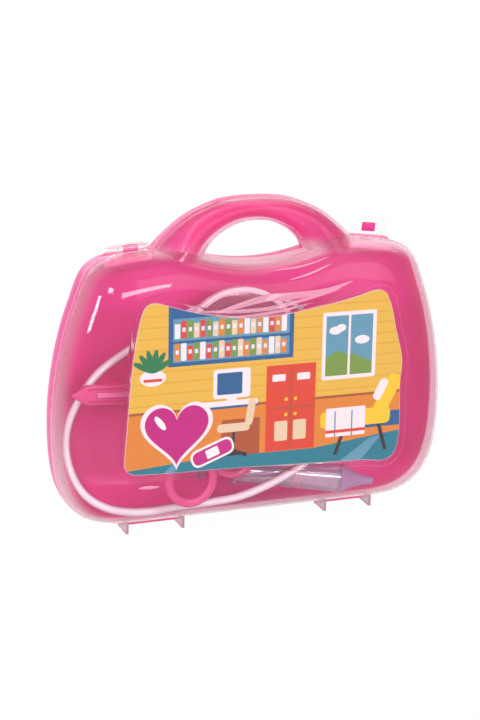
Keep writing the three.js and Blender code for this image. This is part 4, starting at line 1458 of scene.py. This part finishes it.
@dataclass
class Shells:
    """The clear front shell and the pink back shell."""

    form: CaseForm
    card: Card
    hinge: Hinge
    latches: Sequence[Latch]
    crease: float = 30.0
    ledge: float = 0.7
    window_margin: float = 4.0
    window_round: float = 1.2
    window_root: float = 1.0
    rebate_margin: float = 0.6
    rebate_depth: float = 3.0
    swoosh_least: float = 0.12
    swoosh_fade: float = 0.7
    swoosh_flat: float = 0.3
    swoosh_rise: float = 0.1
    # Ridges over the window and a dash near the bottom; their pale finish paints gleams.
    swooshes: tuple = (
        (2.2, (-36, 142.8), (-20, 146.6), (-2, 150.2), (18, 150.6), (40, 152.4), (58, 157.5)),
        (1.2, (-46, 144.6), (-24, 143.2), (0, 143.4), (24, 147.4), (50, 153)),
        (0.8, (-30, 139.6), (-10, 139.8), (10, 141.6), (30, 145.4)),
        (0.7, (14, 160.6), (28, 164), (42, 169.2)),
        (0.5, (4, 167.4), (22, 169), (40, 173.6)),
        (1.0, (-85, 35.6), (-78, 35.4), (-71, 35.2)),
    )

    def build(self, shop: Workshop, posts: Sequence[Surface]) -> None:
        """Makes both shells.

        Args:
            shop: The workshop that dresses the pieces.
            posts: The posts that stand on the back wall.
        """
        bowl, steps = self.form.shell(-1, self.ledge)
        raised, rebate = self.window()
        steps += Cut.JOIN.each(raised) + Cut.TAKE.each(rebate, *(latch.slot() for latch in self.latches))
        front = carved("front_shell_moulding", bowl, steps)
        shop.dress(front, "clear", "front_shell", Body.LID, self.crease)
        first, *others = self.hinge.ears()
        ears = carved("hinge_ears", first, Cut.JOIN.each(*others) + Cut.TAKE.each(self.hinge.bores()))
        # The ears take the darker, pinker clear plastic: painted shade and painted pink light.
        shop.dress(ears, "ear_clear_painted_shade", body=Body.LID)
        # The swoosh ridges are dressed pale: painted gleams.
        for number, swoosh in enumerate(self.relief()):
            shop.piece(f"shell_gleam_swoosh_{number + 1}", swoosh, "frosted_painted_gleam", "", Body.LID)

        bowl, steps = self.form.shell(1)
        steps += Cut.JOIN.each(*self.hinge.barrels(), *self.hinge.feet())
        for latch in self.latches:
            steps += Cut.JOIN.each(self.shelf(latch, bowl)) + Cut.TAKE.each(*latch.recess())
        back = carved("back_shell_moulding", bowl, steps)
        shop.dress(back, "shell_pink", "back_shell", crease=self.crease)
        first, *others = posts
        steps = Cut.JOIN.each(*others) + Cut.KEEP.each(bowl)
        shop.dress(carved("instrument_posts", first, steps), "shell_pink")

    def window(self) -> tuple[Surface, Surface]:
        """Works out the raised window and the rebate behind it that takes the card.

        The rise's edge is a quarter round.

        Returns:
            The solid to join and the one to take away.
        """
        form, outline = self.form, self.card.outline()
        face = form.front_depth + self.card.window_rise
        root = form.front_depth - self.window_root
        rings = [standing(shifted(outline, self.window_margin), -root)]
        for angle in np.linspace(0, QUARTER_TURN, 5):
            inward = self.window_round * (1 - math.cos(angle))
            depth = face - self.window_round + self.window_round * math.sin(angle)
            rings.append(standing(shifted(outline, self.window_margin - inward), -depth))
        seat, behind = face - form.wall, form.front_depth - form.wall - self.rebate_depth
        rebate = slab(shifted(outline, self.rebate_margin), -seat, -behind)
        return skinned(np.stack(rings)), rebate

    def shelf(self, latch: Latch, bowl: Surface) -> Surface:
        """Works out the part of a latch's block that lies inside the back shell's outer surface.

        Args:
            latch: The latch.
            bowl: The outer surface.

        Returns:
            The part to join to the shell.
        """
        made = carved("shelf", latch.pocket(), Cut.KEEP.each(bowl))
        corners = np.empty((len(made.data.vertices), 3))
        made.data.vertices.foreach_get("co", corners.ravel())
        kept = Surface(corners / MM, [tuple(face.vertices) for face in made.data.polygons])
        discard(made)
        return kept

    def relief(self) -> list[Surface]:
        """Works out the raised swooshes over the window, whose pale finish paints gleams.

        Each is a flat oval section carried along a curve; its width follows a power of a half sine, so
        that it fades at both ends.

        Returns:
            One surface for each swoosh.
        """
        made, depth = [], -self.form.front_depth - self.swoosh_rise
        for wide, *places in self.swooshes:
            line = route([(x, depth, z) for x, z in places])
            way = np.linspace(0, 1, len(line)) * math.pi
            width = self.swoosh_least + wide * np.sin(way) ** self.swoosh_fade
            made.append(piped(line, width, 16, self.swoosh_flat))
        return made


@dataclass
class Scissors:
    """Toy scissors with two finger rings."""

    place: Place = (-28.305, -8.199, 39.405)
    turn: float = -25.5
    ring_radius: float = 18.0
    ring_hole: float = 12.2
    ring_offset: float = 17.2
    ring_thickness: float = 3.8
    parting: float = 0.15
    blade: float = 1.9
    blade_edge: float = 0.5
    pivot: float = 50.0
    boss: float = 6.0
    boss_edge: float = 0.4
    rivet_gap: float = 0.45
    length: float = 94.0
    shares: tuple = (
        (1.25, 0.14), (0.42, 0.47), (0.3, 0.56), (0.16, 0.97), (0.06, 1), (-0.1, 0.97),
        (-0.42, 0.62), (-0.32, 0.5), (0.55, 0.16),
    )
    roundings: tuple[float, ...] = (2, 4, 3, 2, 2, 2, 4, 4, 2)

    def half(self, hand: int) -> Surface:
        """Works out one half: a round finger ring, a tapering shank and a blade.

        Args:
            hand: -1 for the front half, 1 for the back half.

        Returns:
            Its surfaces.
        """
        angle = np.linspace(0, FULL_TURN, 56, endpoint=False)[:, None]
        section = np.linspace(0, FULL_TURN, 16, endpoint=False)[None, :]
        middle = (self.ring_radius + self.ring_hole) / 2
        radius = middle + (self.ring_radius - self.ring_hole) / 2 * np.cos(section)
        y = self.ring_thickness / 2 * np.sin(section) + hand * (self.ring_thickness / 2 + self.parting)
        across = hand * self.ring_offset + radius * np.cos(angle)
        grid = np.stack([across, np.broadcast_to(y, across.shape), radius * np.sin(angle)], axis=-1)
        corners = np.array(self.shares) * np.array([hand * self.ring_offset, self.length])
        outline = rounded(corners[::hand], self.roundings[::hand])
        near, far = sorted((hand * self.parting, hand * (self.parting + self.blade)))
        boss = slab(disc(0, self.pivot, self.boss), near, far, self.boss_edge)
        return skinned(grid, closed=True).plus(slab(outline, near, far, self.blade_edge), boss)

    def build(self, shop: Workshop) -> None:
        """Makes both halves and the rivet.

        Args:
            shop: The workshop that dresses the pieces.
        """
        seat = self.blade + self.rivet_gap
        end = seat + 1
        head = [(0, -seat - 1.3), (2.4, -seat - 1.1), (4, -seat), (2, -seat)]
        rivet = turned([*head, (2, seat), (4, seat), (4, end), (0, end)], 32)
        place = swung(self.place, self.turn)
        shop.pieces(
            place,
            ("scissors_front_moulding", self.half(-1), "tool_pink", "scissors_front_half"),
            ("scissors_back_moulding", self.half(1), "tool_pink", "scissors_back_half", Body.SCISSORS),
        )
        at_pivot = place @ Matrix.Translation((0, 0, self.pivot))
        shop.pieces(at_pivot, ("scissors_rivet_head", rivet, "lavender", "scissors_rivet"))


@dataclass
class Syringe:
    """Toy syringe with a clear barrel."""

    nose: Place = (61.006, -7.001, 21.593)
    grip: Place = (-8.005, 8.801, 30.403)
    radius: float = 9.6
    wall: float = 1.4
    nose_hole: float = 2.0
    flange: float = 12.0
    flange_thickness: float = 2.0
    nozzle: float = 24.0
    rod: float = 3.0
    rod_length: float = 62.0
    thumb: float = 9.0
    thumb_thickness: float = 2.4
    out: float = 22.0
    marks: int = 9
    mark_step: float = 5.2
    mark_start: float = 8.0
    mark_reaches: tuple[float, float] = (1.35, 1.0)
    mark_radius: float = 0.32

    def scale(self) -> Surface:
        """Works out the scale: short and long raised arcs round the front of the barrel.

        Returns:
            The arcs as one surface.
        """
        marks = []
        for number in range(self.marks):
            reach = self.mark_reaches[number % 2]
            turn = np.linspace(-reach, reach, 14)
            along = np.full(len(turn), self.mark_start + number * self.mark_step)
            line = np.stack([np.sin(turn) * self.radius, along, -np.cos(turn) * self.radius], axis=1)
            marks.append(piped(line, self.mark_radius, 8))
        return marks[0].plus(*marks[1:])

    def build(self, shop: Workshop) -> None:
        """Makes the barrel with its scale, the nozzle, the plunger and its seal.

        Args:
            shop: The workshop that dresses the pieces.
        """
        axis = Vector(self.grip) - Vector(self.nose)
        length, wide, tip = axis.length, self.radius, self.nozzle
        bore = self.radius - self.wall
        lip = length - self.flange_thickness
        barrel = turned(
            [
                (self.nose_hole, 0), (wide, 0), (wide, lip), (self.flange, lip), (self.flange, length),
                (bore, length), (bore, self.wall), (self.nose_hole, self.wall), (self.nose_hole, 0),
            ],
            72,
        )
        cone = [(wide * 0.6, -tip * 0.4), (3.2, -tip * 0.72), (2.3, -tip), (0, -tip)]
        nozzle = turned([(0, -0.3), (wide, -0.3), (wide, -1.8), *cone], 56, 0.8)
        end = length + self.out
        front, rest = end - self.rod_length, end - self.thumb_thickness
        stick = [(0, front), (self.rod, front), (self.rod, rest)]
        stick += [(self.thumb, rest), (self.thumb, end), (0, end)]
        lips = [(0, 5.3), (0.9, 5.3), (0.3, 4.6), (0.9, 2.8), (0.3, 1), (0.9, 0.3), (0, 0.3)]
        seal = [(bore - inward if inward else 0, front - behind) for inward, behind in lips]
        shop.pieces(
            aimed(self.nose, axis),
            ("syringe_barrel_moulding", barrel, "barrel_clear", "syringe_barrel"),
            ("syringe_scale", self.scale(), "barrel_clear"),
            ("syringe_nozzle_moulding", nozzle, "lavender", "syringe_nozzle"),
            ("plunger_moulding", turned(stick, 56, 0.5), "lavender", "syringe_plunger", Body.PLUNGER),
            ("plunger_seal_moulding", turned(seal, 56), "tool_pink", "plunger_seal", Body.PLUNGER),
        )


@dataclass
class Stethoscope:
    """Toy stethoscope: its tube lies round the case and its headset behind the card."""

    tube: float = 2.7
    places: tuple = (
        (-63, 11.3, 121.5), (-80, 9.5, 114), (-98, 8, 103), (-109.5, 8, 89.5), (-118, 9, 72), (-120.5, 8, 56),
        (-118.5, 2, 40), (-112.5, -7, 28), (-100.5, -11.5, 20.2), (-86, -11.8, 16), (-70, -11.2, 14.6),
        (-55, -6.4, 13.6), (-42, -4.6, 13.4), (-27, -6, 14.4), (-11, -10.5, 17.4), (8, -12.6, 23.6),
        (29, -13, 33.2), (46, -11, 45), (58, -6.5, 55), (62, -4, 62.2),
    )
    chest: Place = (62.0, -4.0, 86.0)
    yoke: Place = (-55.0, 12.2, 124.4)
    headset: float = 2.1
    upper: tuple = (
        (-46, 13.4, 129), (-36, 14.2, 135.5), (-16, 14.5, 141.5),
        (8, 14.5, 142.5), (32, 14.5, 137.5), (46, 14.5, 127),
    )
    lower: tuple = (
        (-46, 13.4, 120), (-36, 14.2, 111.5), (-18, 14.5, 99),
        (4, 14.5, 91.5), (28, 14.5, 92.5), (45, 14.5, 101),
    )

    def build(self, shop: Workshop) -> None:
        """Makes the tube, the chest piece and the headset.

        Args:
            shop: The workshop that dresses the pieces.
        """
        tube = piped(route(self.places), self.tube, 24)
        shop.piece("stethoscope_tube_sweep", tube, "tube_white", "stethoscope_tube")
        profile = [(0, 2.4), (15.8, 2.4), (15.8, -4.5), (18, -4.5), (18, 0), (11.2, 4.5), (0, 4.5)]
        drum = turned(profile, 72, 0.6)
        stem = piped([[0, 0, -16.4], [0, 0, -22.0]], 3.4, 28)
        skin = turned([(0, -3.9), (12, -4.1), (13, -4.5), (15.5, -4.5), (15.5, -3.3), (0, -3.3)], 72)
        shop.pieces(
            Matrix.Translation(self.chest),
            ("chest_piece_moulding", drum.plus(stem), "tool_pink", "chest_piece"),
            ("diaphragm_disc", skin, "tube_white", "diaphragm"),
        )
        yoke = turned([(0, -6), (3.4, -6), (4.2, 0), (3.4, 6), (0, 6)], 40, 0.8)
        at_yoke = aimed(self.yoke, Vector(self.yoke) - Vector(self.places[0]))
        shop.pieces(at_yoke, ("headset_yoke_moulding", yoke, "tool_pink", "headset_yoke"))
        for name, places in (("upper", self.upper), ("lower", self.lower)):
            arm = piped(route(places), self.headset, 20)
            shop.piece(f"headset_{name}_sweep", arm, "tube_white", f"headset_tube_{name}")
            along = (Vector(places[-1]) - Vector(places[-2])).normalized()
            tip = turned([(0, 0), (2.6, 0), (4.4, 3.6), (3.5, 7.2), (0, 9)], 40, 1.2)
            at_tip = aimed(Vector(places[-1]) + along * 0.3, along)
            shop.pieces(at_tip, (f"ear_tip_{name}_moulding", tip, "tool_pink", f"ear_tip_{name}"))


@dataclass
class Thermometer:
    """Toy thermometer: a flat pointed bar with a pale scale."""

    place: Place = (-84.0, -1.0, 89.5)
    turn: float = 3.0
    length: float = 72.0
    height: float = 12.5
    thickness: float = 4.0
    point: float = 10.0
    tip: float = 0.6
    groove: float = 0.8
    groove_depth: float = 1.0
    scale: float = 1.7
    scale_start: float = 16.0
    scale_depth: float = 1.4
    bed_gap: float = 0.3
    past: float = 2.0

    def build(self, shop: Workshop) -> None:
        """Makes the bar with its grooves and the scale strip.

        Args:
            shop: The workshop that dresses the pieces.
        """
        end, side, face = self.length / 2, self.height / 2, self.thickness / 2
        left, right = -end + self.point, end - self.point
        corners = [[-end, self.tip], [-end, -self.tip], [left, -side]]
        corners += [[end, -side], [end, side], [left, side]]
        place = swung(self.place, self.turn)
        front, floor, gap = -face - self.past, -face + self.groove_depth, self.bed_gap
        taken = [
            block((left, front, middle - self.groove), (right, floor, middle + self.groove), 0.5)
            for middle in (-side / 2 - self.groove, side / 2 + self.groove)
        ]
        start, depth, reach = -end + self.scale_start, -face + self.scale_depth, self.scale
        taken.append(block((start - gap, front, -reach - gap), (right + gap, depth + gap, reach + gap)))
        cuts = Cut.TAKE.each(*(solid.under(place) for solid in taken))
        bar = slab(rounded(np.array(corners), 1.2), -face, face, 0.9).under(place)
        shop.dress(carved("thermometer_moulding", bar, cuts), "tool_pink", "thermometer_body")
        inlay = block((start, -face, -reach), (right, depth, reach), 0.3)
        shop.pieces(place, ("thermometer_scale_strip", inlay, "scale_pink", "thermometer_scale"))


@dataclass
class HeadMirror:
    """Toy head mirror with a pale dished rim."""

    place: Place = (-5.8, 5.0, 110.0)
    radius: float = 41.5
    rim: float = 3.6
    half: float = 2.5
    dish: float = 1.8

    def build(self, shop: Workshop) -> None:
        """Makes the dish, the silvered face and the stud.

        Args:
            shop: The workshop that dresses the pieces.
        """
        wide, half = self.radius, self.half
        inner, floor = wide - self.rim, half - self.dish
        back, reach = half - 2.1, inner - 0.3
        dish = [(0, floor), (inner, floor), (inner, -half), (wide, -half), (wide, half), (0, half)]
        face = [(reach * share, back - 1.2 + 0.5 * (1 - share**2)) for share in np.linspace(0, 1, 12)]
        stud = [(0, half + 0.3), (6, half + 0.3), (4.8, half + 5.3), (0, half + 5.3)]
        shop.pieces(
            Matrix.Translation(self.place),
            ("mirror_dish", turned(dish, 96, 0.9), "dish_white", "mirror_disc"),
            ("mirror_face", turned([*face, (reach, back), (0, back)], 96), "silvered_face", "mirror_glass"),
            ("mirror_stud_moulding", turned(stud, 40, 0.5), "tool_pink", "mirror_stud"),
        )


def instrument_posts(form: CaseForm) -> list[Surface]:
    """Works out the posts between the back wall and the instruments, as in the frame.

    Args:
        form: The form of the case.

    Returns:
        One post for each held place.
    """
    inside = form.back_depth - 1.0
    thick, mid, thin = 3.4, 2.9, 2.1
    ends = (
        (-58.25, 102.2, -5.85, thick), (2.28, 45.6, -3.95, mid), (2.34, 29.1, 17.4, thick),
        (47.2, 23.35, 7.1, thick), (-84.0, 89.5, 1.3, thick), (-60.0, 89.5, 1.3, thick),
        (-5.8, 110.0, 13.1, thick), (62.0, 86.0, 0.8, thick), (-55.0, 124.4, 16.7, thick),
        (32.0, 137.5, 16.9, thin), (28.0, 92.5, 16.9, thin),
    )
    return [slab(disc(x, z, radius, sides=24), near, inside) for x, z, near, radius in ends]


@dataclass
class Studio:
    """The camera, the lamps and the plain pale floor."""

    azimuth: float = -23.5
    elevation: float = 14.0
    roll: float = -1.2
    distance: float = 1.2
    focal_pixels: float = 1879.2
    target: Place = (0.0, 0.0, 0.103)
    centre: tuple[float, float] = (250.2, 362.0)
    floor_front: float = 10.0
    floor_reach: float = 6.0
    floor_glow: float = 1.06
    floor_share: float = 0.9
    world_light: float = 0.7
    lights: tuple = (
        ("key_lamp", (-0.8, -1.35, 0.75), (0, 0, 0.1), (0.32, 0.22), 3.7),
        ("fill_lamp", (0.6, -1.35, 0.6), (0.04, 0, 0.09), (0.9, 1.0), 2.6),
        ("top_lamp", (0.5, 0.3, 1.2), (0, 0, 0.1), (1.2, 0.7), 2.8),
        ("front_strip", (0.1, -1.5, 0.45), (-0.08, 0, 0.16), (0.66, 0.2), 3.7),
        ("side_strip", (-1.05, -0.7, 0.38), (-0.11, 0, 0.15), (0.15, 0.17), 2.2),
        ("back_lamp", (-0.4, 1.5, 0.9), (0, 0, 0.1), (1.2, 0.9), 5.0),
    )

    def build(self) -> None:
        """Sets up the whole studio."""
        self.camera()
        self.world()
        self.lamps()
        self.floor()

    def camera(self) -> None:
        """Places the camera that was fitted to the photograph."""
        data = bpy.data.cameras.new("camera")
        data.sensor_fit = "VERTICAL"
        data.sensor_height = SENSOR
        data.lens = self.focal_pixels / FRAME_HEIGHT * SENSOR
        data.shift_x = -(self.centre[0] - FRAME_WIDTH / 2) / FRAME_HEIGHT
        data.shift_y = (self.centre[1] - FRAME_HEIGHT / 2) / FRAME_HEIGHT
        data.clip_start = 0.05
        data.clip_end = 50.0
        camera = placed("camera", data)
        a, e, r = (math.radians(angle) for angle in (self.azimuth, self.elevation, self.roll))
        back = Vector((math.sin(a) * math.cos(e), -math.cos(a) * math.cos(e), math.sin(e)))
        level = Vector((math.cos(a), math.sin(a), 0.0))
        upwards = back.cross(level)
        right = math.cos(r) * level - math.sin(r) * upwards
        up = math.sin(r) * level + math.cos(r) * upwards
        turn = Matrix((right, up, back)).transposed().to_4x4()
        camera.matrix_world = Matrix.Translation(Vector(self.target) + back * self.distance) @ turn
        bpy.context.scene.camera = camera

    def world(self) -> None:
        """Sets a pale world that shows as white wherever it is seen."""
        bpy.context.scene.view_settings.view_transform = "Standard"
        world = bpy.data.worlds.new("studio")
        world.use_nodes = True
        wire = Wiring(world.node_tree)
        inputs = {"Factor": wire.seen_rays(), "A": self.world_light, "B": 1.0}
        strength = wire.add("Mix", inputs, data_type="FLOAT")
        shown = {"Color": (1.0, 1.0, 1.0, 1.0), "Strength": strength.outputs["Result"]}
        wire.feed(world.node_tree.nodes["Background"], shown)
        bpy.context.scene.world = world

    def lamps(self) -> None:
        """Hangs the soft lamps, each from its name, place, aim, size and power."""
        for name, place, aim, size, power in self.lights:
            data = bpy.data.lights.new(name, "AREA")
            data.shape = "RECTANGLE"
            data.size, data.size_y = size
            data.energy = power
            lamp = placed(name, data)
            lamp.location = place
            lamp.rotation_euler = (Vector(aim) - Vector(place)).to_track_quat("-Z", "Y").to_euler()

    def floor(self) -> None:
        """Lays the plain pale floor, white to the eye and shaded under the case.

        It ends just in front of the case, as a shelf does, so that the lid can be seen when it is open.
        """
        side, edge = self.floor_reach, -self.floor_front * MM
        mesh = bpy.data.meshes.new("floor")
        corners = [(-side, edge, 0), (side, edge, 0), (side, side, 0), (-side, side, 0)]
        mesh.from_pydata(corners, [], [(0, 1, 2, 3)])
        floor = placed("floor", mesh)
        material, wire, shader = new_material("pale_floor")
        wire.feed(shader, {"Base Color": (0.9, 0.9, 0.9, 1.0), "Roughness": 0.7, "Specular IOR Level": 0.1})
        glow = wire.add("Emission", {"Strength": self.floor_glow}).outputs["Emission"]
        share = wire.calc("MULTIPLY", wire.seen_rays(), self.floor_share)
        surface = wire.blended(share, shader.outputs["BSDF"], glow)
        wire.feed(material.node_tree.nodes["Material Output"], {"Surface": surface})
        mesh.materials.append(material)


def main() -> None:
    """Builds the studio and every sub-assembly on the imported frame."""
    logging.basicConfig(level=logging.INFO, format="%(name)s: %(message)s")
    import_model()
    Studio().build()
    shop = Workshop()
    form = CaseForm()
    card = Card(form)
    latches = [
        Latch(form, -1, 82.0, Body.LEFT_LATCH, "left_latch"),
        Latch(form, 1, 0.0, Body.RIGHT_LATCH, "right_latch"),
    ]
    Shells(form, card, Hinge(form), latches).build(shop, instrument_posts(form))
    card.build(shop)
    for assembly in (*latches, Scissors(), Syringe(), Stethoscope(), Thermometer(), HeadMirror()):
        assembly.build(shop)


if __name__ == "__main__":
    main()
